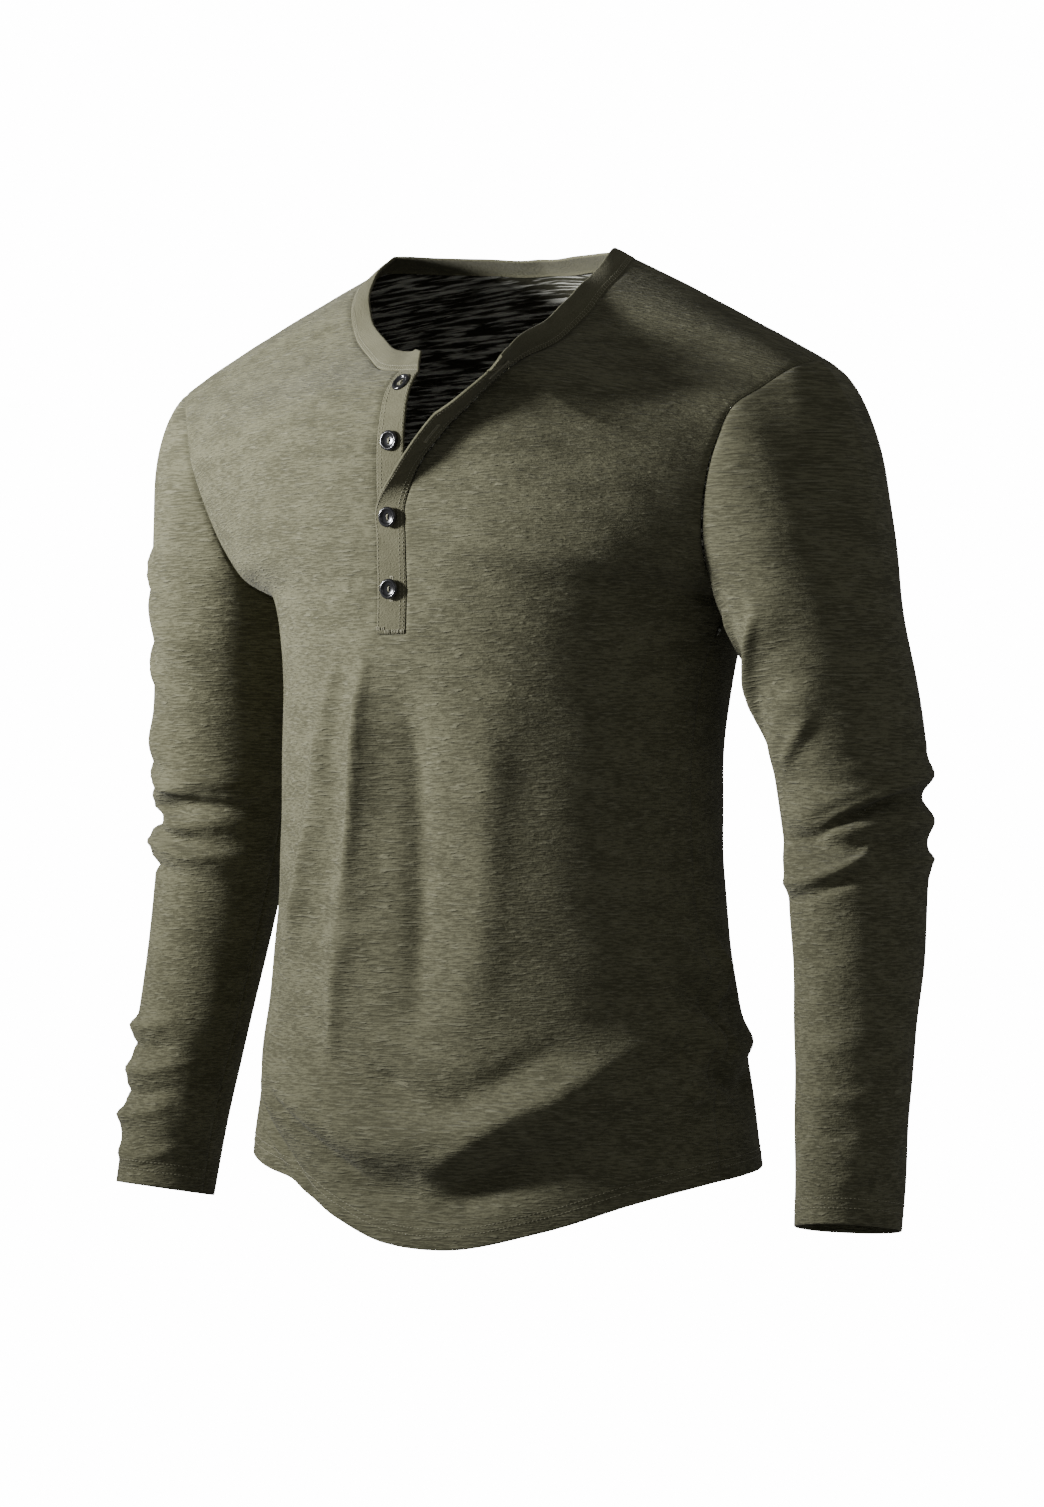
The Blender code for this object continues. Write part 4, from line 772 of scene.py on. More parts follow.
def make_piece(cloth, finishes):
    """The mesh of a piece: outer layer, inner layer and rim, with the yarn's directions as its UV map."""
    rows, count = cloth.points.shape[:2]
    half = cloth.thickness / 2
    turned = EDGE_TURN * np.clip(1 - cloth.edge / half, 0, 1)
    sunk = half * (1 - np.sqrt(1 - turned**2))
    outer = cloth.points - cloth.outward * sunk[..., None]
    inner = cloth.points - cloth.outward * (cloth.thickness - sunk)[..., None]
    vertices = np.concatenate([outer.reshape(-1, 3), inner.reshape(-1, 3)])
    number = np.arange(rows * count).reshape(rows, count)
    corners = np.stack([number[:-1, :-1], number[:-1, 1:], number[1:, 1:], number[1:, :-1]], axis=-1)
    around = np.pad(cloth.present, 1)
    beside = (around[:-2, 1:-1], around[1:-1, 2:], around[2:, 1:-1], around[1:-1, :-2])
    faces = [corners[cloth.present], corners[cloth.present][:, ::-1] + rows * count]
    for k, neighbour in enumerate(beside):
        bare = corners[cloth.present & ~neighbour]
        start, end = bare[:, k], bare[:, (k + 1) % 4]
        faces.append(np.stack([end, start, start + rows * count, end + rows * count], axis=1))
    # Inner faces take the second finish, which on the shirt's panels is the reverse with painted shade; a
    # turned-up hem shows the face.
    reverse_seen = np.where(cloth.turned_up[cloth.present], 0, 1)
    inside = np.concatenate([0 * reverse_seen, reverse_seen, np.zeros(sum(map(len, faces[2:])), int)])
    faces = np.concatenate(faces)
    used, faces_used = np.unique(faces, return_inverse=True)
    faces_used = faces_used.reshape(faces.shape)
    obj = add_mesh(cloth.node + "_jersey", vertices[used].tolist(), faces_used.tolist(), finishes)
    obj.data.polygons.foreach_set("material_index", inside)
    layer = obj.data.uv_layers.new(name="yarn")
    yarn = cloth.yarn.reshape(-1, 2)[faces.reshape(-1) % (rows * count)]
    layer.data.foreach_set("uv", yarn.astype(np.float32).reshape(-1))
    return obj


print("a hem is", HEM * 1000, "mm thick and", HEM_DEPTH * 1000, "mm deep")

# %% [markdown]
# ## Sewing the pieces together
#
# Two pieces that meet at a seam must dip to the same line, so their ways out are averaged along it
# before the dip. The yarn places are metres across and along the piece. The knit's courses lie level on
# a body and across a sleeve, and bend a little over the shoulders.

# %% Panels as cloth
def body_yarn(turn, up, points):
    over_shoulder = np.clip(up - 1, 0, 1) ** 2
    return np.stack([turn * GIRTH_QUARTER, points[..., 2] + 0.10 * over_shoulder], axis=-1)


front_outward = np.zeros(front_points.shape)
front_outward[: SLOT_ROW + 1] = grid_normals(front_points[: SLOT_ROW + 1])
for part in (RIGHT_HALF, LEFT_HALF):
    front_outward[SLOT_ROW + 1 :, part] = grid_normals(front_points[SLOT_ROW:, part])[1:]
front = Cloth("front", front_points, body_yarn(front_across, front_up, front_points), front_outward)
front.present[SLOT_ROW:, RIGHT:LEFT] = False

back_seen = back_points[:, ::-1]
back_yarn = body_yarn(2 - back_across[:, ::-1], back_up[:, ::-1], back_seen)
back = Cloth("back", back_seen, back_yarn, grid_normals(back_seen))

sleeves = {}
for side, node, laid in ((1, "sleeve_left", left_sleeve), (-1, "sleeve_right", right_sleeve)):
    seen, yarn = (grid[::-1, ::-side] for grid in laid)
    normals = grid_normals(seen[:, :-1], closed=True)
    sleeves[side] = Cloth(node, seen, yarn, np.concatenate([normals, normals[:, :1]], axis=1))
print("front", front.points.shape, "back", back.points.shape, "sleeve", sleeves[1].points.shape)

# %% Seams of the panels
def share_way_out(mine, theirs):
    """One way out for the points of the front and the back that meet along a seam."""
    shared = unit(front.outward[mine] + back.outward[theirs])
    front.outward[mine] = back.outward[theirs] = shared


below_arm = slice(0, nearest(front_up[:, 0], 1.0) + 1)
for mine, theirs in ((0, -1), (-1, 0)):
    share_way_out((below_arm, mine), (below_arm, theirs))
for mine, theirs in ((RIGHT_HALF, slice(-1, -RIGHT - 2, -1)), (LEFT_HALF, slice(RIGHT, None, -1))):
    share_way_out((-1, mine), (-1, theirs))


def on_front(*measures):
    """Distances on the front, each measured in its own part of the grid, and a metre elsewhere."""
    distance = np.full(front.points.shape[:2], 1.0)
    for part, measure in measures:
        distance[part] = measure(front.points[part])
    return distance


BELOW_SLOT = np.s_[: SLOT_ROW + 1]
right_side, left_side = np.s_[:, RIGHT_HALF], np.s_[:, LEFT_HALF]
right_top, left_top = np.s_[SLOT_ROW:, RIGHT_HALF], np.s_[SLOT_ROW:, LEFT_HALF]
from_sides = on_front((right_side, from_first), (left_side, from_last))
from_shoulder = on_front((right_top, from_top), (left_top, from_top))
from_slot = on_front((right_top, from_last), (left_top, from_first))
front.turn_up(on_front((BELOW_SLOT, from_bottom)), HEM_DEPTH)
front.dip(from_sides)
front.dip(from_shoulder, SHOULDER_DIP)
front.dip(from_slot, SLOT_DIP)

back_sides = np.minimum(from_first(back.points), from_last(back.points))
back_top = from_top(back.points)
back.turn_up(from_bottom(back.points), HEM_DEPTH)
back.dip(back_sides)
back.dip(back_top, SHOULDER_DIP)
for sleeve in sleeves.values():
    sleeve.turn_up(from_bottom(sleeve.points), CUFF_DEPTH)
    sleeve.dip(from_top(sleeve.points), ARMHOLE_DIP, ARMHOLE_REACH)
    sleeve.dip(np.minimum(from_first(sleeve.points), from_last(sleeve.points)), SHOULDER_DIP)
print("seams dip by", SEAM_DIP * 1000, "mm")

# %% [markdown]
# ## The plackets and the neckband
#
# A placket is a strip of the jersey folded in two and sewn down each side of the slot. The one that
# carries the buttons lies underneath, and the one with the buttonholes lies over it. The neckband is
# another folded strip that stands on the neckline and runs out over both plackets. All three are
# grids too, with the fold as a free edge.

# %% Plackets
STRIP = 0.0022
STRIP_STEPS = np.array([0.0, 0.00015, 0.0004, 0.0008, 0.0013, 0.0020, 0.0030])
STRIP_COLUMNS = 14
STRIP_MARGIN = 0.04
PLACKET_PUFF = 0.0004
PLACKET_GRID_ROWS = 97
TOP_ROW_HEIGHT = PLACKETS[-1][0] - PLACKETS[-2][0]


def front_place(x, z, lift):
    """A point that stands off the front by lift."""
    across, up = find_on_front(x, z)
    step = 1e-3
    sideways = smooth_panel(FRONT, across + step, up) - smooth_panel(FRONT, across - step, up)
    upward = smooth_panel(FRONT, across, up + step) - smooth_panel(FRONT, across, up - step)
    outward = unit(np.cross(sideways, upward))
    return folded_panel(FRONT, across, up) + outward * np.asarray(lift)[..., None]


def strip_shares(width):
    """Shares across a strip, with rows close together at its edges."""
    steps = STRIP_STEPS / width
    margin = steps[-1] + STRIP_MARGIN
    return np.concatenate([steps, np.linspace(margin, 1 - margin, STRIP_COLUMNS), 1 - steps[::-1]])


top_rows = PLACKET_ROWS - STRIP_STEPS / TOP_ROW_HEIGHT
placket_rows = np.unique(np.append(np.linspace(0, PLACKET_ROWS, PLACKET_GRID_ROWS), top_rows))
placket_table = smooth_curve(np.arange(PLACKET_ROWS + 1), PLACKETS, placket_rows)
stand_seam, flap_seam = front_edges(placket_rows)


def lay_placket(seam, ends):
    share = strip_shares(PLACKET_WIDTH)[None, :, None]
    places = seam[:, None, :] + (ends - seam)[:, None, :] * share
    return front_place(*np.moveaxis(places, -1, 0))


under_points = lay_placket(stand_seam, placket_table[:, 7:10])
over_points = lay_placket(flap_seam, placket_table[:, 4:7])[:, ::-1]


def folded_strip(node, points):
    yarn = np.stack([from_first(points), from_bottom(points)], axis=-1)
    cloth = Cloth(node, points, yarn, grid_normals(points))
    cloth.thickness[:] = STRIP
    return cloth


under = folded_strip("placket_under", under_points)
over = folded_strip("placket_over", over_points)
for cloth, fold, seam in ((under, from_last, from_first), (over, from_first, from_last)):
    cloth.free_edge(fold(cloth.points))
    cloth.free_edge(from_bottom(cloth.points))
    cloth.move(PLACKET_PUFF * (0.5 - np.exp(-((seam(cloth.points) / SEAM_REACH) ** 2))))
print("plackets:", under.points.shape, over.points.shape)

# %% Neckband
NECKBAND_WIDTH = 0.018
BAND_PITCH = 0.0024
BAND_TUCK = 0.0005
BAND_SLOPE = math.radians(30)
# On the wearer's right the band leans up, less and less until this x. Towards the back it comes to
# stand, between these two y.
RIGHT_RISE = 0.8
RIGHT_RISE_ENDS = 0.03
RIGHT_RISE_WIDTH = 0.06
STANDS_FROM = -0.08
STANDS_BY = -0.02
BAND_PUFF = 0.0006
BAND_LIFT = 0.0002
BAND_DIP = 0.0006
BAND_DIP_REACH = 0.0014
BAND_EASING = 12
BAND_TAPER = 0.012
BAND_END_WIDTH = 0.86
NECK_HOLE = np.array([0.0, -0.02, 0.10])
TAB_LEAN = np.array([-0.15, 0.30, 0.94])
# distance from the band's end on the flap, and the way up the band there: x, y, z
FLAP_TURN = np.array((
    (0.000, 0.75, -0.01, 0.65), (0.008, 0.68, -0.12, 0.72), (0.016, 0.57, -0.33, 0.73),
    (0.024, 0.43, -0.45, 0.75), (0.053, 0.05, -0.53, 0.85), (0.078, -0.22, -0.58, 0.78),
    (0.098, -0.42, -0.52, 0.74), (0.117, -0.70, -0.35, 0.62),
))
FLAP_TURN_ENDS = 0.138


def read_columns(knots, values, at):
    return np.stack([np.interp(at, knots, column) for column in values.T], axis=-1)


def along_line(line, values, distances):
    """Values that belong to the points of a line, read at distances along it."""
    return read_columns(lengths_along(line), values, distances)


def softened(values, passes):
    """Values along a line, each eased towards its neighbours."""
    for _ in range(passes):
        ahead = np.concatenate([values[1:], values[-1:]])
        behind = np.concatenate([values[:1], values[:-1]])
        values = (ahead + 2 * values + behind) / 4
    return values


def neck_seam():
    """The seam that the neckband is sewn to, from the stand round the neck to the flap, and its way in."""
    neck = slice(RIGHT + 1, RIGHT + BACK_NECK_COLUMNS)
    corner = SLOT_ROW + nearest(upper_rows, PLACKET_ROWS)
    back_normals = -grid_normals(back_points[:, ::-1])[:, ::-1]
    parts = (
        (under.points[-1, :0:-1], -under.outward[-1, :0:-1]),
        (front_points[corner:, RIGHT], -front_outward[corner:, RIGHT]),
        (back_points[-1, neck], back_normals[-1, neck]),
        (front_points[: corner - 1 : -1, LEFT], -front_outward[: corner - 1 : -1, LEFT]),
        (over.points[-1, -2::-1], -over.outward[-1, -2::-1]),
    )
    return [np.concatenate(columns) for columns in zip(*parts)]


def band_directions(line, inward):
    """The way up the band from its seam, for evenly spaced points of the seam."""
    up = np.array([0.0, 0.0, 1.0])
    to_hole = NECK_HOLE - line
    along = unit(np.gradient(line, axis=0))
    on_cloth = square_to(inward, np.cross(along, inward), to_hole)
    level = square_to(along * (1.0, 1.0, 0.0), np.cross(along, up), to_hole)
    standing = unit(level) * np.cos(BAND_SLOPE) + up * np.sin(BAND_SLOPE)
    share = np.clip((line[:, 1:2] - STANDS_FROM) / (STANDS_BY - STANDS_FROM), 0, 1)
    rise = RIGHT_RISE * np.clip((RIGHT_RISE_ENDS - line[:, :1]) / RIGHT_RISE_WIDTH, 0, 1)
    way = unit(unit(on_cloth + up * rise) * (1 - share) + standing * share)
    from_start = lengths_along(line)
    from_end = from_start[-1] - from_start
    open_way = unit(read_columns(FLAP_TURN[:, 0], FLAP_TURN[:, 1:], from_end))
    tab = np.clip(1 - from_start / PLACKET_WIDTH, 0, 1)
    opened = np.clip((FLAP_TURN_ENDS - from_end) / (FLAP_TURN_ENDS - FLAP_TURN[-1, 0]), 0, 1)
    for turned, lean in ((tab, TAB_LEAN), (opened, open_way)):
        way = unit(way * (1 - turned[:, None]) + lean * turned[:, None])
    return unit(softened(way, BAND_EASING))


seam_line, seam_inward = neck_seam()
seam_length = lengths_along(seam_line)[-1]
even = np.linspace(0, seam_length, int(seam_length / BAND_PITCH))
band_line = softened(along_line(seam_line, seam_line, even), 2)
band_inward = unit(along_line(seam_line, seam_inward, even))
band_way = band_directions(band_line, band_inward)
places = np.concatenate([STRIP_STEPS, even[2:-2], even[-1] - STRIP_STEPS[::-1]])
line, way = along_line(band_line, band_line, places), unit(along_line(band_line, band_way, places))
line = line - way * BAND_TUCK + along_line(band_line, band_inward, places) * BAND_TUCK
taper = np.clip(np.minimum(places, even[-1] - places) / BAND_TAPER, 0, 1)
band_width = NECKBAND_WIDTH * (BAND_END_WIDTH + (1 - BAND_END_WIDTH) * taper)
band_shares = strip_shares(NECKBAND_WIDTH)[:, None, None]
band_points = (line + way * band_width[:, None] * band_shares)[:, ::-1]
band = folded_strip("neckband", band_points)
for measure in (from_top, from_first, from_last):
    band.free_edge(measure(band.points))
up_band = np.clip(from_bottom(band.points) / NECKBAND_WIDTH, 0, 1)
band.move(BAND_PUFF * np.sin(np.pi * up_band) + BAND_LIFT)
band.dip(from_bottom(band.points), BAND_DIP, BAND_DIP_REACH)
print("neckband", band.points.shape, "length", round(float(seam_length), 3))

# %% [markdown]
# ## Thread
#
# The hems, the cuffs and the neckband are sewn with two rows of straight stitches, and a placket has two
# at its seam and one at its fold. A texture could paint them, but thread catches the light as a small
# round thing, so each stitch is a short bent rod. All stitches of a seam are made as one mesh.
# Buttonholes and the dense row at the foot of the placket are the same rods side by side.

# %% Helpers for thread
THREAD = 0.00021
UNEVEN = 0.00006
rng = np.random.default_rng(7)


def line_on(cloth, distance, at, up_rows=False):
    """The line on a piece where its distance from an edge is at: points and the way out."""
    points, outward = cloth.points, cloth.outward
    if up_rows:
        distance, points, outward = distance.T, np.swapaxes(points, 0, 1), np.swapaxes(outward, 0, 1)
    found = []
    for column in range(distance.shape[1]):
        order = np.argsort(distance[:, column])
        place = np.interp(at, distance[order, column], order)
        low = min(int(place), len(points) - 2)
        share = place - low
        both = np.concatenate([points[low : low + 2, column], outward[low : low + 2, column]], axis=1)
        found.append(both[0] * (1 - share) + both[1] * share)
    found = np.array(found)
    return found[:, :3], unit(found[:, 3:])


STITCH_BENDS = np.array([0.0, 0.28, 0.72, 1.0])
STITCH_RISE = 0.00020 * np.array([-1.2, 1.0, 1.0, -1.2])


def stitch_row(line, outward, pitch=0.0029, length=0.0023, ends=0.0):
    """Straight stitches along a line, as bent rods of four points each."""
    total = lengths_along(line)[-1] - ends
    begins = np.arange(ends + pitch / 2, total - pitch, pitch)
    begins = begins + rng.normal(0, UNEVEN, len(begins))
    places = (begins[:, None] + length * STITCH_BENDS).reshape(-1)
    rise = np.tile(STITCH_RISE, len(begins))[:, None]
    points = along_line(line, line, places) + along_line(line, outward, places) * rise
    return points.reshape(-1, 4, 3), unit(along_line(line, outward, begins + length / 2))


def bars(starts, ends, outward, lift=0.00030):
    """Stitches that lie across a line, from one side of it to the other."""
    starts, ends, outward = map(np.array, (starts, ends, outward))
    share = np.array([0.0, 0.25, 0.75, 1.0])[None, :, None]
    points = starts[:, None] * (1 - share) + ends[:, None] * share
    return points + outward[:, None] * (lift * np.array([-1.0, 1.0, 1.0, -1.0]))[None, :, None], outward


def make_thread(name, runs, finish, radius):
    """One mesh for many stitches."""
    points = np.concatenate([run[0] for run in runs])
    outward = np.concatenate([run[1] for run in runs])[:, None]
    along = unit(points[:, -1:] - points[:, :1])
    aside = unit(np.cross(along, outward))
    angles = np.linspace(0, 2 * np.pi, 6)[:-1]
    ring = np.cos(angles)[:, None] * aside[:, :, None] + np.sin(angles)[:, None] * outward[:, :, None]
    taper = np.array([0.55, 1.0, 1.0, 0.55])[None, :, None, None]
    vertices = (points[:, :, None] + ring * radius * taper).reshape(-1, 3)
    faces = []
    for step in range(3):
        for k in range(5):
            after = (k + 1) % 5
            faces.append((step * 5 + k, step * 5 + after, step * 5 + 5 + after, step * 5 + 5 + k))
    faces = (np.arange(len(points))[:, None, None] * 20 + np.array(faces)).reshape(-1, 4)
    print(name, len(points), "stitches")
    return add_mesh(name, vertices.tolist(), faces.tolist(), (finish,))


print("a stitch is", THREAD * 2000, "mm thick")

# %% [markdown]
# ## Sums inside a material
#
# A material is a graph of nodes, and a graph is hard to read as code. The small class below wraps one
# output of a node, so that `(noise - 0.5) * 0.2 + tone` adds the Math nodes by itself. The Finish class
# holds a material and adds any other node from its type, its settings and its inputs.

# %% Helpers for materials
class Field:
    """A number that changes over a surface."""

    def __init__(self, finish, socket):
        self.finish = finish
        self.socket = socket

    def maths(self, operation, other):
        return self.finish.node("ShaderNodeMath", {"operation": operation}, {0: self, 1: other})

    def __add__(self, other):
        return self.maths("ADD", other)

    def __mul__(self, other):
        return self.maths("MULTIPLY", other)

    def __sub__(self, other):
        return self.maths("SUBTRACT", other)

    def between(self, low, high):
        """0 below low, 1 above high, and smooth between."""
        settings = {"interpolation_type": "SMOOTHSTEP"}
        values = {"Value": self, "From Min": low, "From Max": high}
        return self.finish.node("ShaderNodeMapRange", settings, values)


class Finish:
    """A material and the nodes that feed its Principled shader."""

    def __init__(self, name, roughness, constants):
        self.material = bpy.data.materials.new(name)
        self.material.use_nodes = True
        self.tree = self.material.node_tree
        self.shader = self.tree.nodes["Principled BSDF"]
        self.shader.inputs["Roughness"].default_value = roughness
        for key, value in constants.items():
            self.shader.inputs[key].default_value = value

    def node(self, kind, settings=None, inputs=None, output=0):
        node = self.tree.nodes.new(kind)
        for key, value in (settings or {}).items():
            setattr(node, key, value)
        for key, value in (inputs or {}).items():
            self.set(self.find(node.inputs, key), value)
        return Field(self, self.find(node.outputs, output))

    def find(self, sockets, key):
        if isinstance(key, int):
            return sockets[key]
        return next(socket for socket in sockets if key in (socket.identifier, socket.name))

    def set(self, socket, value):
        if isinstance(value, Field):
            self.tree.links.new(value.socket, socket)
        elif isinstance(value, tuple) and len(value) == 3 and socket.type == "RGBA":
            socket.default_value = (*value, 1.0)
        else:
            socket.default_value = value

    def mix(self, share, first, second):
        inputs = {"Factor_Float": share, "A_Color": first, "B_Color": second}
        return self.node("ShaderNodeMix", {"data_type": "RGBA"}, inputs, "Result_Color")

    def noise(self, place, counts, detail=2.0, roughness=0.5, distortion=0.0):
        """Noise with this many grains a metre along each axis of a place."""
        product = {"operation": "MULTIPLY"}
        counted = self.node("ShaderNodeVectorMath", product, {0: place, 1: counts}, "Vector")
        inputs = {"Vector": counted, "Scale": 1.0, "Detail": detail, "Roughness": roughness}
        inputs["Distortion"] = distortion
        return self.node("ShaderNodeTexNoise", {"noise_dimensions": "3D"}, inputs, "Fac")

    def yarn_noise(self, along, across, *look):
        place = self.node("ShaderNodeUVMap", {"uv_map": "yarn"}, output="UV")
        return self.noise(place, (along, across, 1.0), *look)

    def grain(self, count, detail):
        """Even noise in the object's own space."""
        place = self.node("ShaderNodeTexCoord", output="Object")
        return self.noise(place, (count, count, count), detail)

    def raise_by(self, height, distance):
        inputs = {"Height": height, "Distance": distance, "Strength": 1.0}
        self.feed("Normal", self.node("ShaderNodeBump", inputs=inputs, output="Normal"))

    def feed(self, name, value):
        self.set(self.shader.inputs[name], value)


print("material helpers ready")

# %% [markdown]
# ## The knit
#
# Slub yarn is spun unevenly: thick soft lengths follow thin hard ones. Knitted into courses, the thick
# lengths show as short lit streaks that lie across the piece, each a course or two high. So the knit is
# noise that is stretched along the courses: fine and even for the ground, and cut off high for
# the slubs. The yarn map gives metres along and up the piece, so the streaks have one size everywhere.
# The reverse of the jersey shows only where one looks into the shirt. Its ground is near black:
# partly the reverse's own darker tone, and partly painted shade for the inside of the shirt. Pale
# streaks show where the slubs float at the back.

# %% Jersey
OLIVE = (0.126, 0.123, 0.076)
OLIVE_DEEP = (0.066, 0.064, 0.037)
OLIVE_PALE = (0.184, 0.180, 0.120)
BAND_DEEP = (0.082, 0.079, 0.046)
BAND_PALE = (0.122, 0.118, 0.074)


def slub_jersey(name, deep, ground, pale, depth):
    finish = Finish(name, 0.92, {"Sheen Weight": 0.06, "Sheen Roughness": 0.5, "Specular IOR Level": 0.2})
    grain = finish.yarn_noise(430, 900, 2.0, 0.6, 0.4)
    course = finish.yarn_noise(120, 820, 1.5, 0.5, 0.2)
    slub = finish.yarn_noise(75, 480, 1.0, 0.5, 0.3).between(0.56, 0.70)
    cloud = finish.yarn_noise(26, 60, 1.0)
    tone = (grain - 0.5) * 0.5 + (course - 0.5) * 1.1 + (cloud - 0.5) * 0.5 + 0.5
    knit = finish.mix(tone.between(0.3, 0.7), deep, ground)
    finish.feed("Base Color", finish.mix(slub * 0.55, knit, pale))
    finish.raise_by(grain * 0.45 + course * 0.9 + slub * 0.5, depth)
    return finish.material


def jersey_reverse_with_painted_shade():
    finish = Finish("slub_jersey_reverse_painted_shade", 0.95, {"Specular IOR Level": 0.1})
    slub = finish.yarn_noise(40, 290, 2.0, 0.55, 0.35)
    fleck = finish.yarn_noise(420, 900)
    # The near-black ground is partly the reverse's own darker tone and partly painted shade for the inside
    # of the shirt.
    ground = finish.mix(fleck, (0.020, 0.020, 0.012), (0.060, 0.058, 0.040))
    finish.feed("Base Color", finish.mix(slub.between(0.46, 0.64), ground, (0.62, 0.62, 0.56)))
    finish.raise_by(slub + fleck * 0.5, 0.0006)
    return finish.material


def trim_jersey():
    """The bands are cut from a plain jersey, with hardly any slub in it."""
    finish = Finish("trim_jersey", 0.9, {"Sheen Weight": 0.06, "Specular IOR Level": 0.2})
    grain = finish.yarn_noise(620, 1000, 2.0, 0.6)
    cloud = finish.yarn_noise(40, 90)
    tone = (grain - 0.5) * 0.6 + (cloud - 0.5) * 0.5 + 0.5
    finish.feed("Base Color", finish.mix(tone.between(0.25, 0.75), BAND_DEEP, BAND_PALE))
    finish.raise_by(grain, 0.0008)
    return finish.material


def thread_finish():
    finish = Finish("sewing_thread", 0.6, {"Sheen Weight": 0.3, "Specular IOR Level": 0.4})
    fleck = finish.grain(900, 1.0)
    finish.feed("Base Color", finish.mix(fleck, (0.170, 0.162, 0.100), (0.290, 0.280, 0.190)))
    finish.raise_by(fleck, 0.0001)
    return finish.material


def black_resin():
    coat = {"Specular IOR Level": 0.5, "Coat Weight": 0.25, "Coat Roughness": 0.15}
    finish = Finish("button_resin", 0.22, coat)
    grain = finish.grain(380, 3.0)
    finish.feed("Base Color", finish.mix(grain, (0.004, 0.004, 0.005), (0.016, 0.016, 0.017)))
    finish.feed("Roughness", grain * 0.12 + 0.12)
    finish.raise_by(grain, 0.00005)
    return finish.material


jersey = slub_jersey("slub_jersey", OLIVE_DEEP, OLIVE, OLIVE_PALE, 0.0011)
reverse_with_painted_shade = jersey_reverse_with_painted_shade()
trim = trim_jersey()
thread = thread_finish()
resin = black_resin()
print("finishes:", [m.name for m in bpy.data.materials])

# %% [markdown]
# ## Making the pieces
#
# Each piece now becomes a mesh and takes the place of its solid.

# %% Cloth pieces
def add_piece(cloth, finishes):
    obj = make_piece(cloth, finishes)
    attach(obj, "root")
    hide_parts(cloth.node)
    print(obj.name, len(obj.data.polygons), "faces")


# cloth, flat width and length, flat area
for cloth, flat, area in (
    (front, (0.56, 0.72), 0.310),
    (back, (0.58, 0.74), 0.335),
    (sleeves[1], (0.42, 0.64), 0.172),
    (sleeves[-1], (0.42, 0.64), 0.172),
):
    add_piece(cloth, (jersey, reverse_with_painted_shade))
for cloth, flat, area in (
    (under, (0.024, 0.195), 0.0046),
    (over, (0.024, 0.215), 0.0051),
    (band, (0.019, 0.64), 0.0115),
):
    add_piece(cloth, (trim, trim))

# %% [markdown]
# ## Seams and stitches
#
# Thread is slightly paler than the cloth. On the hem and the cuffs it runs in two rows, on the
# neckband close above the seam with short bars between the rows, and on each placket a little inside
# both edges. A dense row of stitches closes the foot of the placket.

# %% Stitches
def sewn(name, runs, radius=THREAD):
    obj = make_thread(name, runs, thread, radius)
    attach(obj, "root")
    return obj


HEM_ROWS = (0.0095, 0.0140)
CUFF_ROWS = (0.0108, 0.0172)
BAND_ROWS = (0.0016, 0.0046)
BAND_BARS = (0.0021, 0.0041)
BAND_STITCH = {"pitch": 0.0026, "length": 0.0020}
BAND_BAR_ENDS = 0.002
BAND_BAR_LIFT = 0.00012
SEAM_ROWS = (0.0013, 0.0042)
FOLD_ROWS = (0.0016,)
PLACKET_STITCH = {"pitch": 0.0027, "length": 0.0021, "ends": 0.001}
FOOT_STITCHES = 17
FOOT_UP = 0.012
FOOT_BELOW = 0.0014
FOOT_ABOVE = 0.0020
FOOT_THREAD = 0.00034

hems = ((front, on_front((BELOW_SLOT, from_bottom))), (back, from_bottom(back.points)))
hem_runs = [stitch_row(*line_on(cloth, distance, at)) for cloth, distance in hems for at in HEM_ROWS]
sewn("hem_stitches", hem_runs)

cuffs = [(sleeve, from_bottom(sleeve.points)) for sleeve in sleeves.values()]
cuff_runs = [stitch_row(*line_on(cloth, distance, at)) for cloth, distance in cuffs for at in CUFF_ROWS]
sewn("cuff_stitches", cuff_runs)

from_seam = from_bottom(band.points)
band_runs = [stitch_row(*line_on(band, from_seam, at), **BAND_STITCH) for at in BAND_ROWS]
(near_row, near_out), (far_row, _) = (line_on(band, from_seam, at) for at in BAND_BARS)
last = lengths_along(near_row)[-1] - BAND_BAR_ENDS
steps = np.arange(BAND_BAR_ENDS, last, BAND_STITCH["pitch"])
starts, ends, ways = (along_line(near_row, part, steps) for part in (near_row, far_row, near_out))
band_runs.append(bars(starts, ends, ways, BAND_BAR_LIFT))
sewn("neckband_stitches", band_runs)

placket_runs = []
for cloth, seam, fold in ((under, from_first, from_last), (over, from_last, from_first)):
    for measure, places in ((seam, SEAM_ROWS), (fold, FOLD_ROWS)):
        for at in places:
            line, outward = line_on(cloth, measure(cloth.points), at, up_rows=True)
            placket_runs.append(stitch_row(line, outward, **PLACKET_STITCH))
sewn("placket_stitches", placket_runs)


def foot_of_placket():
    """The dense row that closes the foot of the placket."""
    starts, ends, ways = [], [], []
    for share in np.linspace(0.03, 0.97, FOOT_STITCHES):
        j = nearest(shares_along(over.points[0]), share)
        line = over.points[:, j]
        i = nearest(shares_along(line), FOOT_UP)
        upward = unit(line[i + 1] - line[i - 1])
        starts.append(line[i] - upward * FOOT_BELOW)
        ends.append(line[i] + upward * FOOT_ABOVE)
        ways.append(over.outward[i, j])
    return bars(starts, ends, ways)


sewn("placket_foot_stitches", [foot_of_placket()], FOOT_THREAD)

# %% Buttonholes
BUTTON_HEIGHTS = (-0.101, -0.140, -0.192, -0.241)
BUTTONHOLE = 0.0165
SLIT_HALF = 0.00025
SLIT_STITCH = 0.0011
SLIT_STITCHES = 30
SLIT_LIFT = 0.0002
SLIT_THREAD = 0.00026
BAR_HALF_WIDTH = 0.0012
BAR_HALF_STITCH = 0.0008
BAR_STITCHES = 6


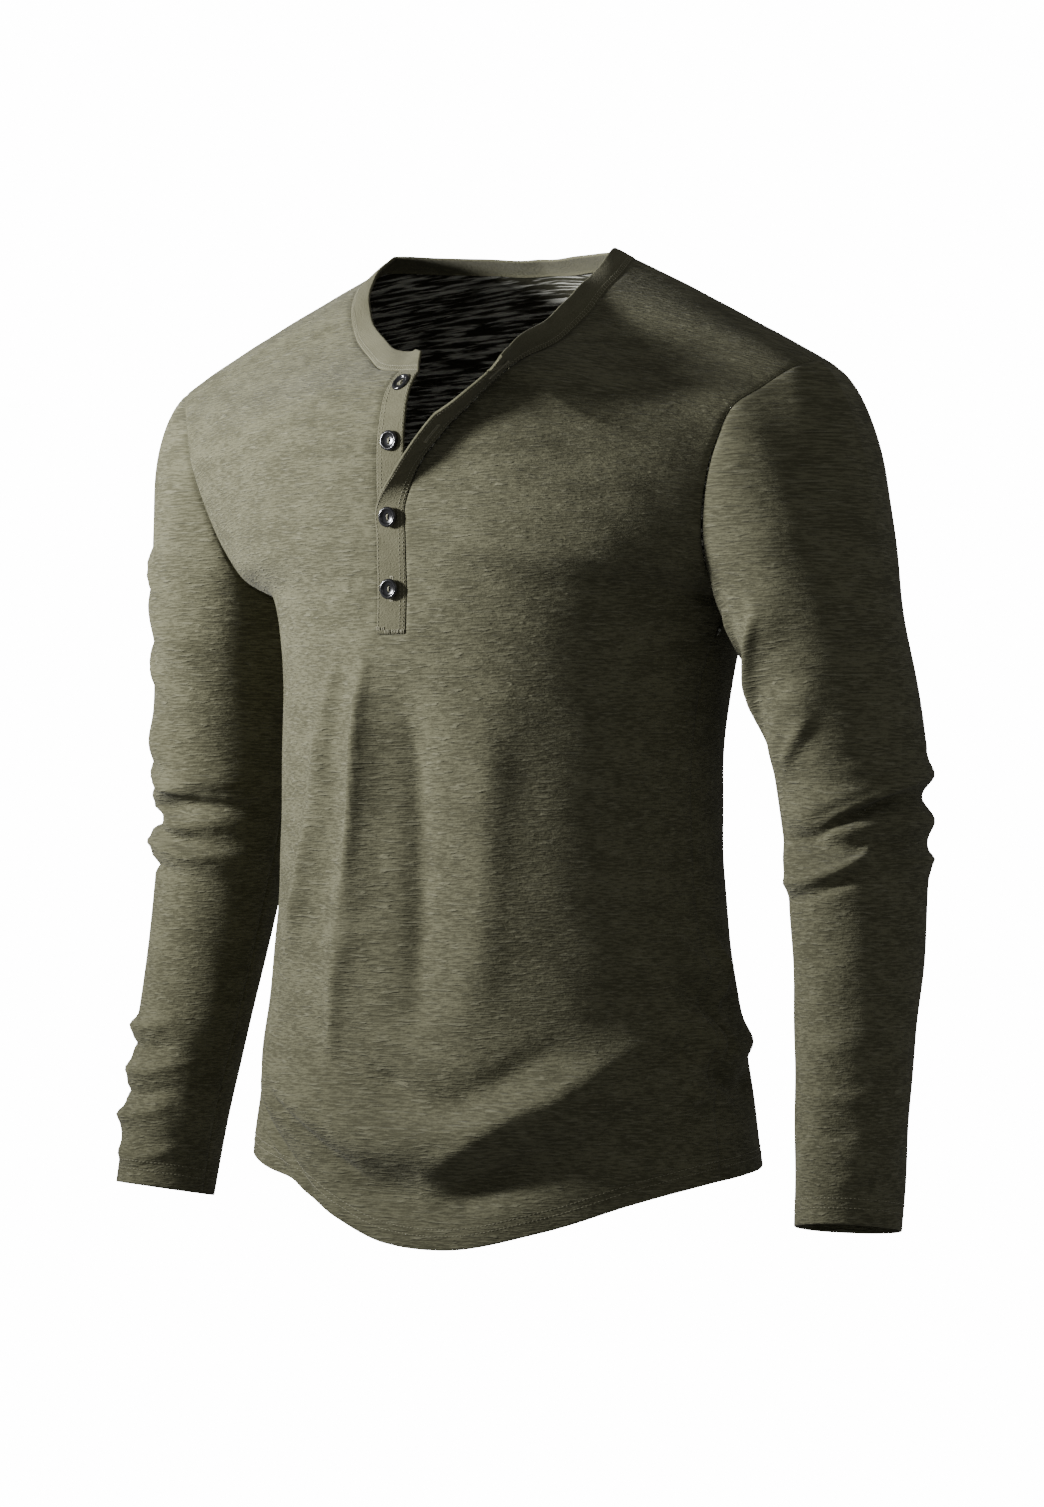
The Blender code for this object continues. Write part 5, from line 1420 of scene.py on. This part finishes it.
def buttonhole(height):
    """A slit sewn round with close stitches, up and down the buttonhole placket."""
    j = over.points.shape[1] // 2
    i = nearest(placket_table[:, 5], height)
    middle = over.points[:, j]
    point, outward = middle[i], over.outward[i, j]
    upward = unit(middle[min(i + 3, len(middle) - 1)] - middle[i - 3])
    right = unit(np.cross(upward, outward))
    starts, ends = [], []
    for side in (-1, 1):
        for at in np.linspace(-BUTTONHOLE / 2, BUTTONHOLE / 2, SLIT_STITCHES):
            base = point + upward * at + right * side * SLIT_HALF
            starts.append(base)
            ends.append(base + right * side * SLIT_STITCH)
    for end in (-1, 1):
        for side in np.linspace(-BAR_HALF_WIDTH, BAR_HALF_WIDTH, BAR_STITCHES):
            base = point + upward * end * BUTTONHOLE / 2 + right * side
            starts.append(base - upward * BAR_HALF_STITCH)
            ends.append(base + upward * BAR_HALF_STITCH)
    return bars(starts, ends, [outward] * len(starts), SLIT_LIFT)


buttonholes = [buttonhole(height) for height in BUTTON_HEIGHTS]
sewn("buttonhole_stitches", buttonholes, SLIT_THREAD)

# %% [markdown]
# ## Buttons
#
# The buttons are turned from black resin: a rounded rim, a dished face and two holes. A real one is
# made on a lathe, and so is this: a profile is spun round its axis. Each replaces the plain solid and
# keeps its place, which is read from the solid's own corners. Four strands of thread hold it.

# %% Buttons
BUTTON_RADIUS = 0.0071
BUTTON_THICK = 0.0034
HOLE_SPREAD = 0.0019
HOLE_RADIUS = 0.0009
STRANDS = (-0.00036, -0.00012, 0.00012, 0.00036)
STRAND_OVERLAP = 0.0002
STRAND_RISE = 0.0005
STRAND_THREAD = 0.00018
THREAD_LEVEL = 0.62
RIM_ANGLE = math.radians(50)
# radius, height as shares of the button's own
BUTTON_PROFILE = (
    (0.0, 0.0), (0.60, 0.0), (0.86, 0.10), (0.965, 0.30), (1.0, 0.55), (0.985, 0.76), (0.94, 0.90),
    (0.87, 0.98), (0.80, 1.0), (0.73, 0.97), (0.68, 0.86), (0.64, 0.74), (0.56, 0.67), (0.40, 0.62),
    (0.20, 0.58),
)
DRILL_PROFILE = ((0, -0.001), (HOLE_RADIUS, -0.001), (HOLE_RADIUS, 0.005), (0.0001, 0.005))


def spun(profile, sides=64):
    """Points and faces of a profile spun round Z, closed at both ends on the axis."""
    angles = np.linspace(0, 2 * np.pi, sides, endpoint=False)
    ring = np.stack([np.cos(angles), np.sin(angles)], axis=-1)
    points = [(0.0, 0.0, profile[0][1])]
    for radius, height in profile[1:]:
        points += [(x * radius, y * radius, height) for x, y in ring]
    points.append((0.0, 0.0, profile[-1][1]))
    faces = []
    for k in range(sides):
        after = (k + 1) % sides
        faces.append((0, 1 + after, 1 + k))
        for step in range(len(profile) - 2):
            low = 1 + step * sides
            faces.append((low + k, low + after, low + sides + after, low + sides + k))
        faces.append((len(points) - 1 - sides + k, len(points) - 1 - sides + after, len(points) - 1))
    return points, faces


def solid_pose(node):
    """Middle of a solid, the way it faces, and how far back it reaches, from its own points."""
    mesh = bpy.data.objects[node].data
    points = np.empty(len(mesh.vertices) * 3)
    mesh.vertices.foreach_get("co", points)
    points = points.reshape(-1, 3)
    centre = points.mean(axis=0)
    _, _, axes = np.linalg.svd(points - centre)
    facing = axes[2] * -np.sign(axes[2][1])
    return centre, facing, ((points - centre) @ facing).min()


def drill_hole(obj, side):
    """Cuts one thread hole with Blender's boolean, and leaves only its result."""
    drill = add_mesh("thread_hole", *spun(DRILL_PROFILE, 20), (), smooth=False)
    drill.location.y = side * HOLE_SPREAD
    cut = obj.modifiers.new("hole", "BOOLEAN")
    cut.object = drill
    cut.operation = "DIFFERENCE"
    evaluated = obj.evaluated_get(bpy.context.evaluated_depsgraph_get())
    obj.data = bpy.data.meshes.new_from_object(evaluated)
    obj.modifiers.clear()
    bpy.data.objects.remove(drill)


def make_button(number):
    node = f"button_{number}"
    centre, facing, back_level = solid_pose(node)
    profile = [(r * BUTTON_RADIUS, h * BUTTON_THICK) for r, h in BUTTON_PROFILE]
    obj = add_mesh(node + "_turned", *spun(profile), (resin,))
    for side in (-1, 1):
        drill_hole(obj, side)
    obj.data.set_sharp_from_angle(angle=RIM_ANGLE)
    obj.rotation_euler = Vector(facing).to_track_quat("Z", "Y").to_euler()
    obj.location = centre + facing * back_level
    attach(obj, "root")
    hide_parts(node)
    return obj


def button_thread(button):
    """Four strands from hole to hole, as short bent rods."""
    right, upward, outward = np.array(button.matrix_world.to_3x3()).T
    middle = np.array(button.location) + outward * BUTTON_THICK * THREAD_LEVEL
    strands = [middle + right * aside for aside in STRANDS]
    reach = upward * (HOLE_SPREAD + STRAND_OVERLAP)
    starts, ends = ([strand + reach * end for strand in strands] for end in (-1, 1))
    return bars(starts, ends, [outward] * len(strands), STRAND_RISE)


buttons = [make_button(number) for number in range(1, 5)]
bpy.context.view_layer.update()
sewn("button_threads", [button_thread(button) for button in buttons], STRAND_THREAD)
print("buttons", [len(button.data.polygons) for button in buttons])

# %% [markdown]
# ## Studio
#
# The light comes from one small lamp at the viewer's left, near the shirt, at the height of the chin
# and a little to the front. It grazes the chest, so the far side of the chest is bright, the near side
# falls off, and the open flap throws its shadow on the chest. A weak lamp from the other side and a
# dim white world keep the shadows from going black. The floor and the wall round the shirt are white
# paper with lamps of their own. A photographer keeps that light off the garment with screens, and here
# the paper is left out of every bounce.

# %% Lights
WORLD_LIGHT = 0.20


def add_light(name, place, target, size, power, cone=math.pi):
    light = bpy.data.lights.new(name, "AREA")
    light.size = size
    light.energy = power
    light.spread = cone
    obj = add_object(name, light)
    turn_towards(obj, place, Vector(target))


def seen_at(right, up, near):
    """A place to the right, up and towards the camera, as the camera sees the shirt."""
    return to_right * right + Vector((0.0, 0.0, up)) + to_camera * near


key_place, fill_place = seen_at(-1.33, 0.05, 0.23), seen_at(1.2, 1.0, 2.6)
add_light("key_light", key_place, (0.0, -0.05, 0.05), size=0.24, power=18, cone=math.radians(100))
add_light("fill_light", fill_place, (0.0, -0.05, -0.25), size=1.8, power=7)

world = bpy.data.worlds.new("studio")
world.use_nodes = True
background = world.node_tree.nodes["Background"]
background.inputs["Color"].default_value = (1.0, 1.0, 1.0, 1.0)
background.inputs["Strength"].default_value = WORLD_LIGHT
bpy.context.scene.world = world

# %% Floor and wall
FLOOR = -1.50
WALL_TOP = 4.0
WALL_RADIUS = 6.5
WALL_BAYS = 96
PAPER_GLOW = 15.0


def paper(name):
    lamps = {"Emission Color": (1.0, 1.0, 1.0, 1.0), "Emission Strength": PAPER_GLOW}
    finish = Finish(name, 0.9, {"Specular IOR Level": 0.1, **lamps})
    grain = finish.grain(3, 2.0)
    finish.feed("Base Color", finish.mix(grain, (0.86, 0.86, 0.86), (0.90, 0.90, 0.90)))
    return finish.material


def add_paper(name, corners, faces, finish):
    obj = add_mesh(name, corners, faces, (finish,), smooth=False)
    obj.visible_diffuse = False
    obj.visible_glossy = False
    obj.visible_shadow = False


turns = np.linspace(0, 2 * np.pi, WALL_BAYS, endpoint=False)
low_ring = [(WALL_RADIUS * math.cos(turn), WALL_RADIUS * math.sin(turn), FLOOR) for turn in turns]
high_ring = [(x, y, WALL_TOP) for x, y, _ in low_ring]
after = [*range(1, WALL_BAYS), 0]
bays = [(k, after[k], WALL_BAYS + after[k], WALL_BAYS + k) for k in range(WALL_BAYS)]
add_paper("studio_floor", low_ring, [tuple(range(WALL_BAYS))], paper("floor_paper"))
add_paper("studio_wall", low_ring + high_ring, bays, paper("wall_paper"))
